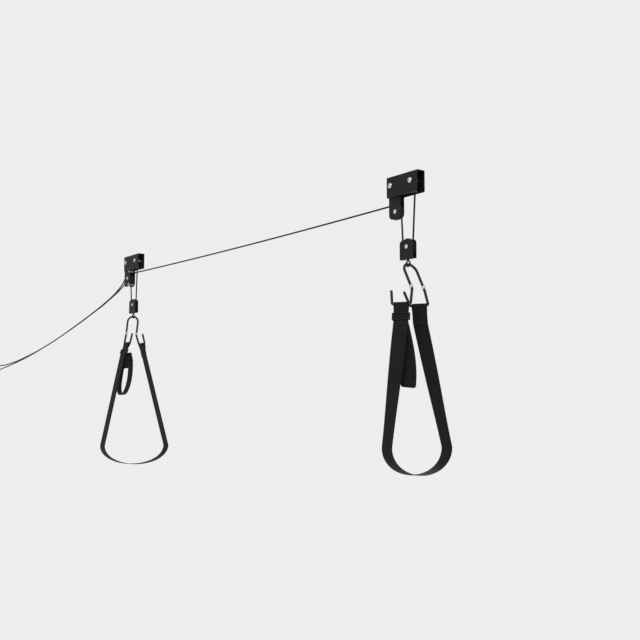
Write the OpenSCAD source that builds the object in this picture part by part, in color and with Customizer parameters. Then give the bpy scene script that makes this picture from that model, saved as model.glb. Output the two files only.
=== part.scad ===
// Kayak hoist: two ceiling brackets, each with a rope fall, a lower block and a
// two-armed hook that carries a webbing sling. The near bracket's rope runs over
// the far bracket, and both ropes go down to one wall cleat.
// The origin is the middle of the near channel's top face, +Z is up, and X runs
// along the line of the two brackets.

/* [Layout] */
// Distance between the two ceiling brackets
hoist_gap = 2000; // [1200:10:3000]
// Height of the lower block's axle below the ceiling
block_drop = 245; // [225:1:600]
// Distance from the lower block's axle down to the sling bars
bar_below = 192; // [185:1:275]

/* [Ceiling channel] */
// Length of each channel
channel_len = 150; // [130:1:240]
// Outer width of each channel
channel_w = 35; // [34:0.5:60]
// Height of each channel
channel_h = 72; // [60:1:90]
// Wall of the folded sheet
channel_wall = 2.5; // [1.5:0.1:2.6]
// Radius of the outer bends
channel_bend = 4; // [3:0.5:6]
// Radius of the lower corners of the side walls
channel_corner = 5; // [2:0.5:10]
// Diameter of the ceiling screw holes
ceiling_hole_d = 9; // [6:0.5:10]
// Place of the first ceiling screw hole along the channel
ceiling_hole_x = 6; // [2:1:10]
// Distance between the two ceiling screw holes
ceiling_hole_gap = 56; // [50:1:60]

/* [Pulley cages] */
// Sheet thickness of the cages and the block shells
plate = 2; // [1.5:0.1:2.5]
// Length of the cage cheeks along the channel
cage_len = 58; // [57:0.5:62]
// Radius of the cage's lower corners
cage_corner = 18; // [8:0.5:22]
// Depth of the near cage's lower edge
near_cage_drop = 145; // [144:1:160]
// Depth of the far cage's lower edge
far_cage_drop = 150; // [148:0.5:160]
// Place of the cages along the channel
cage_x = -45; // [-46:0.5:-44]
// Depth of the near cage's axle
near_axle_drop = 119; // [115:1:120]
// Depth of the far cage's axle
far_axle_drop = 108; // [106:1:112]

/* [Sheaves and axles] */
// Radius at which the rope's middle runs
pitch_r = 24; // [22:0.5:24]
// Width of a sheave
sheave_w = 11; // [10:0.5:11.5]
// Height of the flanges beside the rope's middle
flange_h = 3.5; // [2:0.5:3.5]
// Diameter of the sheave axles
axle_d = 8; // [6:0.5:9]
// Running gap round an axle
axle_play = 0.05; // [0.02:0.01:0.1]
// Diameter of the riveted axle heads
rivet_d = 15; // [12:0.5:16]
// Height of the riveted axle heads
rivet_h = 3; // [2:0.5:4]
// Gap on each side of a sheave
side_gap = 1; // [0.8:0.1:1.5]
// Thickness of the side washers
washer_t = 0.8; // [0.4:0.05:0.8]

/* [Cross bolts] */
// Diameter of the cross bolts
bolt_d = 8; // [6:0.5:8]
// Depth of the cross bolts below the ceiling
bolt_drop = 30; // [28:1:34]
// Place of the bolt that holds the cage
cage_bolt_x = -58.7; // [-60:0.1:-56]
// Place of the bolt that the rope is tied to
anchor_x = 40.5; // [38:0.5:42]
// Diameter of the bolts' flanged heads
bolt_head_d = 18; // [14:0.5:20]
// Size of the hexagonal nuts across the flats
nut_af = 13; // [11:0.5:14]
// Height of the nuts
nut_h = 7; // [5:0.5:9]
// Wall of the spacer sleeves on the bolts
sleeve_wall = 1.5; // [1:0.1:1.5]

/* [Rope] */
// Diameter of the rope
rope_d = 6; // [4:0.5:6]
// Sag of the near rope between the two brackets
rope_sag = 7; // [0:1:12]

/* [Lower blocks] */
// Length of the block cheeks
block_len = 64; // [57:0.5:66]
// Height of the block's top above its axle
block_top = 22.5; // [18:0.5:26]
// Depth of the block's lower face under its axle
block_bottom = 42; // [41:0.5:46]
// Radius of the block's upper corners
block_corner = 14; // [8:0.5:16]
// Place of the near block along the channel
near_block_x = 10; // [8:0.5:12]
// Place of the far block along the channel
far_block_x = 16; // [12:0.5:18]

/* [Swivel eyes] */
// Rod diameter of the eye
eye_rod_d = 5; // [4:0.5:6]
// Radius of the eye's hole
eye_hole_r = 6.8; // [6.5:0.1:8]
// Diameter of the swivel neck
neck_d = 7; // [5:0.5:8]
// Diameter of the swivel's head inside the block
neck_head_d = 11.5; // [9:0.5:12]
// Thickness of the swivel's head
neck_head_t = 3; // [2:0.5:4]
// Gap between the block and the eye
neck_gap = 2.7; // [2:0.1:5]

/* [Hooks] */
// Diameter of the coated hook rod
rod_d = 9; // [7:0.5:9]
// Distance between the two arms of a yoke
arm_gap = 54; // [46:1:60]
// Length of a yoke from its top to its collars
yoke_len = 82; // [70:1:86]
// Inner length of the bars beyond the webbing
bar_len = 62; // [62:0.5:70]
// Height of the free prongs above the bars
prong_h = 48; // [38:1:52]
// Lean of the free prongs away from the shanks
prong_lean = 8; // [4:1:16]
// Bend radius of the hooks
hook_bend = 6; // [5:0.5:6]
// Spread of the front shank
front_spread = 7; // [3:0.5:10]
// Spread of the back shank
back_spread = 17; // [6:0.5:20]
// Length of the pale collars
collar_len = 10; // [6:0.5:12]
// Wall of the pale collars
collar_wall = 1.8; // [1:0.1:2.5]

/* [Slings] */
// Width of the webbing
strap_w = 50; // [40:1:50]
// Thickness of the webbing
strap_t = 2.2; // [1.6:0.1:2.6]
// Distance from the bars down to the near sling's widest place
near_sling_fall = 463; // [423:5:523]
// Distance from the bars down to the far sling's widest place
far_sling_fall = 488; // [443:5:543]
// Half of the near sling's width
near_sling_half = 130; // [110:1:160]
// Half of the far sling's width
far_sling_half = 167; // [140:1:190]
// Height of the curve under the hull
hull_h = 88; // [70:1:110]
// Length of the near sling's loose end
near_tail_len = 268; // [200:1:300]

/* [Wall cleat] */
// Length of the cleat's horns
cleat_len = 110; // [100:1:130]
// Diameter of the horns
horn_d = 10; // [8:0.5:12]
// Distance between the cleat's two posts
post_gap = 34; // [32:1:40]
// Diameter of the cleat's posts
post_d = 11; // [9:0.5:12]
// Distance between the cleat's screws
cleat_hole_gap = 62; // [60:1:66]
// Diameter of the cleat's screws
cleat_screw_d = 5; // [4:0.5:6]

/* [Hidden] */
$fn = 64;

steel_black = [0.07, 0.07, 0.075];
nylon_black = [0.11, 0.11, 0.115];
vinyl_black = [0.05, 0.05, 0.055];
webbing_black = [0.06, 0.06, 0.065];
rope_black = [0.09, 0.09, 0.1];
zinc = [0.82, 0.83, 0.84];

// One overrun for every cut
cut = 1;
// Small clearance between pieces that touch
seat = 0.05;
// Clearance of parts that swing past each other
clear = 0.3;

far_x = -hoist_gap;
rope_r = rope_d / 2;
rod_r = rod_d / 2;
rim_r = pitch_r + flange_h;
axle_r = axle_d / 2;
bolt_r = bolt_d / 2;
sleeve_r = bolt_r + seat + sleeve_wall;
single_gap = sheave_w + 2 * side_gap;
double_gap = 2 * sheave_w + 3 * side_gap;
pass_y = (sheave_w + side_gap) / 2;
far_y = -pass_y;
channel_inner = channel_w - 2 * channel_wall;
single_w = single_gap + 2 * plate;
double_w = double_gap + 2 * plate;
anchor_r = sleeve_r + rope_r + 2 * seat;
bolt_head_h = 4.5;
socket_af = 5;
socket_depth = 2.5;
rope_sides = 10;
rod_sides = 14;

// The eye and the hook's wire in it
ring_r = eye_hole_r + eye_rod_d / 2;
eye_drop = block_drop + block_bottom + neck_gap + eye_rod_d + eye_hole_r;
hook_drop = eye_drop + eye_hole_r - rod_r - clear;

// Depths of the sling bars and of the hulls' widest places below the ceiling
bar_drop = block_drop + bar_below;
near_chine_drop = bar_drop + near_sling_fall;
far_chine_drop = bar_drop + far_sling_fall;

// How each hook hangs: the yoke's lean, the way that it leans, the way that the
// bars face, how far the shanks step back from the bars, and the slope of the
// front webbing at its bar
far_step = 3;
near_hang = [21.5, 32.5, 33, 0, 8.5];
far_hang = [13, 180, 180, far_step, 21];
knee_len = 9;

// The slings: loops round the bars, the slope of each side at its bar, and the
// middle of the curve under the hull
loop_r = rod_r + clear + strap_t / 2;
layer_half = strap_t / 2 + clear;
leg_len = 62;
slide_at = 42;
back_slope = 13;
hull_power = 2.05;
near_hull_x = 20;
near_hull_y = 24.5;
far_hull_x = 22;
far_hull_y = 11.5;

// The cleat on its wall, beyond the far bracket
cleat_x = far_x - 1345;
cleat_y = -232;
cleat_z = -505;
cleat_base_t = 5;
cleat_base_w = 20;
cleat_stand = 22;
knot_len = 18;
knot_r = 7.5;
knot_at = 30;
end_loop_r = post_d / 2 + rope_r + clear;

// Directions and small vector helpers
function unit(v) = v / norm(v);
function way(angle) = [cos(angle), sin(angle), 0];
function side_way(angle) = [-sin(angle), cos(angle), 0];
function lean_way(lean, angle) =
    [sin(lean) * cos(angle), sin(lean) * sin(angle), -cos(lean)];

// Straight line that touches two circles in an XZ plane. A signed radius is
// positive where the line passes on the right of that centre.
function touch_angle(c1, s1, c2, s2) =
    atan2(c2[1] - c1[1], c2[0] - c1[0]) + asin((s1 - s2) / norm(c2 - c1));
function touch_point(c, s, angle) = c + s * [sin(angle), -cos(angle)];

// Points of an arc in the XZ plane at one Y
function arc_xz(c, r, from, to, y, steps) =
    [for (i = [0:steps]) let (a = from + (to - from) * i / steps)
        [c[0] + r * cos(a), y, c[1] + r * sin(a)]];
// Direction of travel on such an arc at one angle, for angles that grow
function arc_way(a) = [-sin(a), 0, cos(a)];

// Corner of a bent rod, rounded at one radius
function bend(before, corner, after, r, steps) =
    let (a = unit(before - corner), b = unit(after - corner),
         half = acos(a * b) / 2, back = r / tan(half),
         middle = corner + unit(a + b) * r / sin(half),
         start = corner + a * back, u = unit(start - middle),
         w = unit(cross(cross(a, b), u)),
         turn = 180 - 2 * half,
         flip = (w * a) < 0 ? 1 : -1)
    [for (i = [0:steps]) let (t = turn * i / steps)
        middle + r * (cos(t) * u + flip * sin(t) * w)];

// Direction of a path at each of its points
function tangents(p) = [for (i = [0:len(p) - 1])
    unit(p[min(i + 1, len(p) - 1)] - p[max(i - 1, 0)])];

// A first normal, carried along the path without twist
function first_normal(t) =
    let (guess = abs(t[1]) < 0.9 ? [0, 1, 0] : [1, 0, 0])
    unit(guess - (guess * t) * t);
function carried(t) = [for (i = 0, n = first_normal(t[0]); i < len(t);
    i = i + 1, n = i < len(t) ? unit(n - (n * t[i]) * t[i]) : n) n];

// Closed skin over rings that all have the same number of points
module skin(rings) {
    count = len(rings);
    sides = len(rings[0]);
    points = [for (ring = rings) each ring];
    walls = [for (i = [0:count - 2]) for (k = [0:sides - 1])
        let (a = i * sides + k, b = i * sides + (k + 1) % sides)
        each [[a, b + sides, b], [a, a + sides, b + sides]]];
    first = [for (k = [0:sides - 1]) k];
    last = [for (k = [0:sides - 1]) (count - 1) * sides + sides - 1 - k];
    polyhedron(points, concat([first], walls, [last]), convexity = 10);
}

// Round tube along a path, with one radius or one for each point. The ends can
// be given the directions that they face.
module tube(path, r, sides, from = false, to = false) {
    run = tangents(path);
    last = len(run) - 1;
    t = [for (i = [0:last])
        i == 0 && is_list(from) ? unit(from) : i == last && is_list(to) ? unit(to) : run[i]];
    n = carried(t);
    skin([for (i = [0:len(path) - 1])
        let (b = cross(t[i], n[i]), ring_size = is_list(r) ? r[i] : r)
        [for (k = [0:sides - 1]) path[i] + ring_size *
            (cos(360 * k / sides) * n[i] + sin(360 * k / sides) * b)]]);
}

// Flat band along a path, whose width faces one angle at each point
module band(path, faces, w, t) {
    run = tangents(path);
    skin([for (i = [0:len(path) - 1])
        let (n = unit(cross(run[i], way(faces[i]))), across = cross(n, run[i]))
        [path[i] + w / 2 * across + t / 2 * n, path[i] - w / 2 * across + t / 2 * n,
         path[i] - w / 2 * across - t / 2 * n, path[i] + w / 2 * across - t / 2 * n]]);
}

// Cylinder along Y, centred on y
module pin_y(x, y, z, r, length) {
    translate([x, y, z]) rotate([90, 0, 0])
        cylinder(h = length, r = r, center = true);
}

// Ring along Y, centred on y
module ring_y(x, y, z, r, hole_r, length) {
    difference() {
        pin_y(x, y, z, r, length);
        pin_y(x, y, z, hole_r, length + 2 * cut);
    }
}

// Folded U section, open downwards, with its top face on the X axis
module fold_section(w, h, wall, outer_bend) {
    inner_bend = max(outer_bend - wall, wall / 4);
    difference() {
        rounded_top(w, h, outer_bend);
        translate([0, -wall]) rounded_top(w - 2 * wall, h, inner_bend);
    }
}

// Rectangle under the X axis with two round upper corners
module rounded_top(w, h, r) {
    translate([-w / 2, -h]) square([w, h - r]);
    translate([-w / 2 + r, -h]) square([w - 2 * r, h]);
    for (side = [-1, 1]) translate([side * (w / 2 - r), -r]) circle(r);
}

// The section runs along X and is trimmed to a side view with round corners
module folded_sheet(x, len_x, w, h, wall, outer_bend, corner) {
    intersection() {
        translate([x - len_x / 2, 0, 0]) rotate([90, 0, 90])
            linear_extrude(len_x) fold_section(w, h, wall, outer_bend);
        translate([x, w / 2 + cut, 0]) rotate([90, 0, 0])
            linear_extrude(w + 2 * cut)
            translate([0, -h]) mirror([0, 1]) rounded_top(len_x, h, corner);
    }
}

// Ceiling channel: the folded sheet with screw and bolt holes
module channel(x) {
    color(steel_black) difference() {
        folded_sheet(x, channel_len, channel_w, channel_h, channel_wall,
            channel_bend, channel_corner);
        for (hole = [0, 1])
            translate([x + ceiling_hole_x + hole * ceiling_hole_gap, 0,
                -channel_wall - cut])
                cylinder(h = channel_wall + 2 * cut, r = ceiling_hole_d / 2);
        for (bolt_x = [cage_bolt_x, anchor_x])
            pin_y(x + bolt_x, 0, -bolt_drop, bolt_r + seat, channel_w + 2 * cut);
    }
}

// Pulley cage: a folded strap under the channel's top, with its cheeks below it
module cage(x, gap, drop, axle_drop, extra_pins) {
    outer = gap + 2 * plate;
    height = drop - channel_wall;
    color(steel_black) difference() {
        translate([0, 0, -channel_wall])
            folded_sheet(x + cage_x, cage_len, outer, height, plate,
                plate + 1, cage_corner);
        pin_y(x + cage_bolt_x, 0, -bolt_drop, bolt_r + seat, outer + 2 * cut);
        pin_y(x + cage_x, 0, -axle_drop, axle_r + seat, outer + 2 * cut);
        for (spot = extra_pins)
            pin_y(x + spot[0], 0, -spot[1], spot[2] + seat, outer + 2 * cut);
    }
}

// Cross bolt with a flanged, socketed head at the front and its end at the back
module cross_bolt(x) {
    grip = channel_w + nut_h + bolt_r;
    front = -channel_w / 2;
    translate([x, front, -bolt_drop]) rotate([90, 0, 0]) difference() {
        union() {
            translate([0, 0, -grip]) cylinder(h = grip, r = bolt_r);
            rotate_extrude() polygon([[0, 0], [bolt_head_d / 2, 0],
                [bolt_head_d / 2, bolt_head_h / 4],
                [bolt_head_d / 3, bolt_head_h * 0.85],
                [bolt_head_d / 4, bolt_head_h], [0, bolt_head_h]]);
        }
        translate([0, 0, bolt_head_h - socket_depth])
            cylinder(h = socket_depth + cut, r = socket_af / sqrt(3), $fn = 6);
    }
}

// Hexagonal nut with a collar for its locking ring
module lock_nut(x) {
    nut_r = nut_af / sqrt(3);
    collar_h = nut_h / 4;
    translate([x, channel_w / 2, -bolt_drop]) rotate([-90, 0, 0]) difference() {
        union() {
            cylinder(h = nut_h - collar_h, r = nut_r, $fn = 6);
            cylinder(h = nut_h, r = nut_af / 2 * 0.92);
        }
        translate([0, 0, -cut]) cylinder(h = nut_h + 2 * cut, r = bolt_r + seat);
    }
}

module bolts(x) {
    color(zinc) {
        cross_bolt(x + cage_bolt_x);
        cross_bolt(x + anchor_x);
    }
}

module nuts(x) {
    color(zinc) {
        lock_nut(x + cage_bolt_x);
        lock_nut(x + anchor_x);
    }
}

// Sleeves on the cross bolts: one inside the cage, one on each side of it where
// the cage is the narrow one, and the sleeve that the rope is tied round
module sleeves(x, gap) {
    outer = gap + 2 * plate;
    side_len = (channel_inner - outer) / 2;
    color(zinc) {
        ring_y(x + cage_bolt_x, 0, -bolt_drop, sleeve_r, bolt_r + seat, gap - 2 * seat);
        ring_y(x + anchor_x, 0, -bolt_drop, sleeve_r, bolt_r + seat,
            channel_inner - 2 * seat);
        if (side_len > 2 * plate) for (side = [-1, 1])
            ring_y(x + cage_bolt_x, side * (outer + side_len) / 2, -bolt_drop,
                sleeve_r, bolt_r + seat, side_len - 2 * seat);
    }
}

// Riveted pin along Y with a domed head at each end
module rivet_pin(x, y, z, r, head_r, head_h, grip) {
    pin_y(x, y, z, r, grip + head_h);
    for (side = [-1, 1]) translate([x, y + side * grip / 2, z])
        rotate([-90 * side, 0, 0]) rotate_extrude()
        intersection() {
            translate([0, head_h - rivet_dome(head_r, head_h)])
                circle(rivet_dome(head_r, head_h));
            square([head_r, head_h]);
        }
}
function rivet_dome(head_r, head_h) = (head_r * head_r + head_h * head_h) / (2 * head_h);

// Grooved sheave whose rope runs at the pitch radius
module sheave(x, y, z) {
    hub_r = axle_r + axle_play;
    boss_r = axle_r + 4 * plate / 2;
    recess = sheave_w / 5;
    floor_r = pitch_r - rope_r - 2 * plate;
    groove_r = rope_r + clear;
    color(nylon_black) translate([x, y, z]) rotate([90, 0, 0]) rotate_extrude()
        difference() {
            translate([hub_r, -sheave_w / 2]) square([rim_r - hub_r, sheave_w]);
            translate([pitch_r, 0]) circle(groove_r);
            polygon([[pitch_r, -groove_r], [pitch_r, groove_r],
                [rim_r + cut, sheave_w / 2 - recess / 3],
                [rim_r + cut, -sheave_w / 2 + recess / 3]]);
            for (side = [-1, 1]) translate([boss_r, side * sheave_w / 2 - recess / 2])
                square([floor_r - boss_r, recess]);
        }
}

// Washers on each side of the sheaves of one axle
module side_washers(x, z, places) {
    color(zinc) for (y = places)
        ring_y(x, y, z, axle_r + 2 * plate, axle_r + seat, washer_t);
}

// Shell of a lower block: a folded strap with its web below
module block_shell(x, y) {
    outer = single_w;
    height = block_top + block_bottom;
    color(steel_black) difference() {
        translate([0, y, -block_drop - block_bottom]) mirror([0, 0, 1])
            folded_sheet(x, block_len, outer, height, plate, plate + 1, block_corner);
        pin_y(x, y, -block_drop, axle_r + seat, outer + 2 * cut);
        translate([x, y, -block_drop - block_bottom - cut])
            cylinder(h = 2 * plate + 2 * cut, r = neck_d / 2 + axle_play);
    }
}

// Swivel eye: a ring whose hole faces along Y, a neck and a head in the block
module eye(x, y) {
    head_z = -block_drop - block_bottom + plate + seat;
    color(steel_black) {
        translate([x, y, -eye_drop]) rotate([90, 0, 0]) rotate_extrude()
            translate([ring_r, 0]) circle(eye_rod_d / 2, $fn = 32);
        translate([x, y, -eye_drop + ring_r])
            cylinder(h = head_z + eye_drop - ring_r + seat, r = neck_d / 2);
        translate([x, y, head_z])
            cylinder(h = neck_head_t, r = neck_head_d / 2);
    }
}

// Hooks: the top of the yoke, the ends of its arms and the corners of each hook
function yoke_top(x, y) = [x, y, -hook_drop];
function arm_end(x, y, hang, side) =
    yoke_top(x, y) + [0, side * arm_gap / 2, 0] + yoke_len * lean_way(hang[0], hang[1]);
function knee(x, y, hang, side) =
    arm_end(x, y, hang, side) + knee_len * lean_way(hang[0], hang[1]);
function spread(side) = side < 0 ? -front_spread : back_spread;
function shank_foot(x, y, hang, side) =
    let (k = knee(x, y, hang, side))
    [k[0], k[1] + spread(side), -bar_drop] + hang[3] * way(hang[2]);
function bar_middle(x, y, hang, side) =
    shank_foot(x, y, hang, side) - bar_len / 2 * way(hang[2]);

// Yoke: a round arch of rod whose arms end inside the collars
module yoke(x, y, hang) {
    down = lean_way(hang[0], hang[1]);
    half = arm_gap / 2;
    arch = [for (a = [0:12:180]) yoke_top(x, y) + [0, -half * cos(a), 0]
        + half * (1 - sin(a)) * down];
    path = concat([arm_end(x, y, hang, -1)], arch, [arm_end(x, y, hang, 1)]);
    color(vinyl_black) tube(path, rod_r, rod_sides);
}

// Collars round the joints between the yoke's arms and the hooks
module collars(x, y, hang) {
    color(zinc) for (side = [-1, 1])
        translate(arm_end(x, y, hang, side))
            rotate([0, 180 - hang[0], hang[1]]) difference() {
                cylinder(h = collar_len, r = rod_r + collar_wall, center = true);
                cylinder(h = collar_len + 2 * cut, r = rod_r + seat, center = true);
            }
}

// Hook: down from its collar, along the bar that carries the sling, and up again
module hook(x, y, hang, side) {
    start = arm_end(x, y, hang, side) + clear * lean_way(hang[0], hang[1]);
    k = knee(x, y, hang, side);
    foot = shank_foot(x, y, hang, side);
    free_foot = foot - bar_len * way(hang[2]);
    tip = free_foot - prong_lean * way(hang[2]) + [0, -spread(side), prong_h];
    body = concat([start], bend(start, k, foot, hook_bend, 3),
        bend(k, foot, free_foot, hook_bend, 6),
        bend(foot, free_foot, tip, hook_bend, 6));
    up = unit(tip - body[len(body) - 1]);
    nose = [for (a = [0:30:90]) tip - rod_r * up + rod_r * sin(a) * up];
    sizes = concat([for (p = body) rod_r],
        [for (a = [0:30:90]) max(rod_r * cos(a), rod_r / 8)]);
    color(vinyl_black) tube(concat(body, nose), sizes, rod_sides);
}

// Webbing near a bar, in the bar's own frame: s runs down the layer and q is the
// distance out from the middle between the two layers
function layer(side, slope, s, q) =
    [0, side * (q * cos(slope) + s * sin(slope)), q * sin(slope) - s * cos(slope)];
function placed(middle, face, p) =
    middle + p[1] * side_way(face) + [0, 0, p[2]] + p[0] * way(face);
function slope_of(hang, side) = side < 0 ? hang[4] : back_slope;

// Loop over a bar, from the foot of the inner layer to the foot of the outer one
function bar_loop(middle, face, slope, s_side) =
    concat(
        [placed(middle, face, layer(s_side, slope, leg_len, -layer_half)),
         placed(middle, face, layer(s_side, slope, leg_len / 2, -layer_half))],
        [for (a = [190:-25:-10]) placed(middle, face,
            layer(s_side, slope, -loop_r * sin(a), loop_r * cos(a)))],
        [placed(middle, face, layer(s_side, slope, leg_len / 2, layer_half)),
         placed(middle, face, layer(s_side, slope, leg_len, layer_half))]);

// Curve under the hull, fuller than an ellipse
function full(v) = sign(v) * pow(abs(v), 2 / hull_power);
function hull_curve(x, y, half, drop) = [for (a = [0:9:180])
    [x, y - half * full(cos(a)), -drop - hull_h * full(sin(a))]];

function reversed(v) = [for (i = [len(v) - 1:-1:0]) v[i]];

// Band faces: the bar's angle at the loops, easing to 0 at the hull
function eased(face, count) = [for (i = [1:count])
    let (t = i / (count + 1), e = t * t * (3 - 2 * t)) face * (1 - e)];
function between(a, b, count) = [for (i = [1:count]) a + (b - a) * i / (count + 1)];

// Sling: the loose end, the front loop, both sides, the curve under the hull and
// the sewn back loop, all in one length of webbing
module sling(x, y, hang, hull_x, hull_y, half, drop, tail) {
    face = hang[2];
    straight = abs(face) > 90 ? face - 180 : face;
    turned = abs(face) > 90 ? -1 : 1;
    front = bar_loop(bar_middle(x, y, hang, -1), face, slope_of(hang, -1), -turned);
    back = bar_loop(bar_middle(x, y, hang, 1), face, slope_of(hang, 1), turned);
    under = hull_curve(hull_x, hull_y, half, drop);
    steps = 8;
    down = between(front[len(front) - 1], under[0], steps);
    up = between(under[len(under) - 1], back[len(back) - 1], steps);
    path = concat([for (p = tail) [p[0], p[1], p[2]]], front, down, under, up,
        reversed(back));
    faces = concat([for (p = tail) p[3]], [for (p = front) straight],
        eased(straight, steps), [for (p = under) 0], reversed(eased(straight, steps)),
        [for (p = back) straight]);
    color(webbing_black) band(path, faces, strap_w, strap_t);
}

// Loose end of the near sling: it hangs from the slide and turns to the front
near_tail_foot = [29, -22, -470 - near_tail_len + 30];
near_tail_shares = [1, 0.85, 0.7, 0.55, 0.4, 0.25, 0.12, 0.04];
near_tail_turn = 20;
function near_tail() =
    let (top = placed(bar_middle(near_block_x, 0, near_hang, -1), near_hang[2],
            layer(-1, near_hang[4], leg_len, -layer_half)))
    [for (s = near_tail_shares) let (e = s * s * (3 - 2 * s))
        concat(top + [(near_tail_foot[0] - top[0]) * e,
            (near_tail_foot[1] - top[1]) * e, (near_tail_foot[2] - top[2]) * s],
            near_hang[2] + near_tail_turn * e)];

// Loose end of the far sling, folded up into a loop inside the front side:
// places along Y and Z from the front bar's middle
far_tail_route = [
    [13, -46], [19, -80], [20, -120], [17, -160], [9, -200], [-4, -232],
    [-15, -244], [-26, -246], [-34, -236], [-37, -218], [-36, -190],
    [-31, -155], [-25, -120], [-17, -88]
];
function far_tail() =
    let (bar = bar_middle(far_x + far_block_x, far_y, far_hang, -1))
    [for (p = far_tail_route) [bar[0], bar[1] + p[0], bar[2] + p[1], 0]];

// Slide that holds the loose end: rails beside the webbing, two bars outside
// it and one bar inside
module slide(x, y, hang) {
    straight = abs(hang[2]) > 90 ? hang[2] - 180 : hang[2];
    half_in = layer_half + strap_t / 2 + clear;
    wire_r = 1.7;
    slide_len = 24;
    rail_x = strap_w / 2 + 3 * wire_r / 2;
    middle = bar_middle(x, y, hang, -1);
    color(steel_black) translate(middle) rotate([0, 0, straight])
        rotate([-hang[4], 0, 0]) translate([0, 0, -slide_at]) {
            for (side = [-1, 1]) translate([side * rail_x, 0, 0])
                cube([2 * wire_r, 2 * (half_in + 2 * wire_r), slide_len], center = true);
            for (bar = [[-1, -1], [1, -1], [0, 1]])
                translate([0, bar[1] * (half_in + wire_r),
                    bar[0] * (slide_len / 2 - wire_r)])
                    rotate([0, 90, 0])
                    cylinder(h = 2 * rail_x, r = wire_r, center = true);
        }
}

// Rope geometry of one hoist: the fixed fall runs from the anchor to the block's
// right side, and the hauled fall from its left side to the bracket's sheave
function block_c(block_x) = [block_x, -block_drop];
function anchor_c(x) = [x + anchor_x, -bolt_drop];
function head_c(x, axle_drop) = [x + cage_x, -axle_drop];
function fixed_angle(x, block_x) =
    touch_angle(anchor_c(x), -anchor_r, block_c(x + block_x), -pitch_r);
function hauled_angle(x, block_x, axle_drop) =
    touch_angle(block_c(x + block_x), -pitch_r, head_c(x, axle_drop), pitch_r);

// Straight tube between two points of an XZ plane, a hair short at both ends
module straight_rope(a, b, y) {
    lead = seat * unit(b - a);
    top = a + lead;
    foot = b - lead;
    color(rope_black) tube([[top[0], y, top[1]], [foot[0], y, foot[1]]],
        rope_r, rope_sides);
}

module fall_fixed(x, block_x, y) {
    angle = fixed_angle(x, block_x);
    straight_rope(touch_point(anchor_c(x), -anchor_r, angle),
        touch_point(block_c(x + block_x), -pitch_r, angle), y);
}

module fall_hauled(x, block_x, axle_drop, y) {
    angle = hauled_angle(x, block_x, axle_drop);
    straight_rope(touch_point(block_c(x + block_x), -pitch_r, angle),
        touch_point(head_c(x, axle_drop), pitch_r, angle), y);
}

// Half turn of rope under the block's sheave
module rope_turn(x, block_x, axle_drop, y) {
    from = fixed_angle(x, block_x) + 90;
    to = hauled_angle(x, block_x, axle_drop) - 270;
    color(rope_black) tube(arc_xz(block_c(x + block_x), pitch_r, from, to, y, 14),
        rope_r, rope_sides, -arc_way(from), -arc_way(to));
}

// Rope's end looped over the anchor sleeve, with its short end in the crimp
crimp_drop = 24;
crimp_h = 14;
crimp_d = 15;
end_stub = 4;
// Place along X of the fixed fall at one depth under the bolt
function fall_x(x, block_x, depth) =
    let (angle = fixed_angle(x, block_x), start = touch_point(anchor_c(x), -anchor_r, angle))
    start[0] + depth / tan(-angle);
function stub_x(x, block_x) =
    fall_x(x, block_x, crimp_drop + crimp_h + end_stub) - rope_d - 2 * clear;
module rope_anchor(x, block_x, y) {
    angle = fixed_angle(x, block_x);
    in_x = stub_x(x, block_x);
    top = -bolt_drop - crimp_drop;
    path = concat(arc_xz(anchor_c(x), anchor_r, angle + 90, 200, y, 10),
        [[in_x, y, top + rope_r], [in_x, y, top], [in_x, y, top - crimp_h - end_stub]]);
    color(rope_black) tube(path, rope_r, rope_sides, arc_way(angle + 90));
}

// Pressed sleeve round the rope and its short end
module rope_crimp(x, block_x, y) {
    angle = fixed_angle(x, block_x);
    in_x = stub_x(x, block_x);
    out_x = fall_x(x, block_x, crimp_drop + crimp_h / 2);
    top = -bolt_drop - crimp_drop;
    color(zinc) difference() {
        translate([(in_x + out_x) / 2, y, top - crimp_h]) linear_extrude(crimp_h) {
            for (side = [-1, 1]) translate([side * rope_r, 0])
                circle((crimp_d - rope_r) / 2);
            square([rope_d, crimp_d - rope_r], center = true);
        }
        translate([in_x, y, top - crimp_h - cut])
            cylinder(h = crimp_h + 2 * cut, r = rope_r + seat);
        translate([out_x, y, top - crimp_h / 2]) rotate([0, -90 - angle, 0])
            cylinder(h = 2 * crimp_h, r = rope_r + seat, center = true);
    }
}

// Route of the near rope over both bracket sheaves
run_steps = 8;
module near_line() {
    start = hauled_angle(0, near_block_x, near_axle_drop) - 90;
    head = head_c(0, near_axle_drop);
    pass = head_c(far_x, far_axle_drop);
    run = touch_angle(head, pitch_r, pass, pitch_r);
    over = arc_xz(head, pitch_r, start, run - 90, 0, 7);
    down = arc_xz(pass, pitch_r, run - 90, exit_angle, pass_y, 4);
    path = concat(over, [for (i = [1:run_steps - 1])
        let (t = i / run_steps)
        over[len(over) - 1] * (1 - t) + down[0] * t
            - [0, 0, 4 * rope_sag * t * (1 - t)]], down);
    color(rope_black) tube(path, rope_r, rope_sides, arc_way(start), arc_way(exit_angle));
}

// Route of the far rope over its own sheave
module far_head() {
    start = hauled_angle(far_x, far_block_x, far_axle_drop) - 90;
    color(rope_black) tube(arc_xz(head_c(far_x, far_axle_drop), pitch_r, start,
        exit_angle, far_y, 9), rope_r, rope_sides, arc_way(start), arc_way(exit_angle));
}

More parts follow.
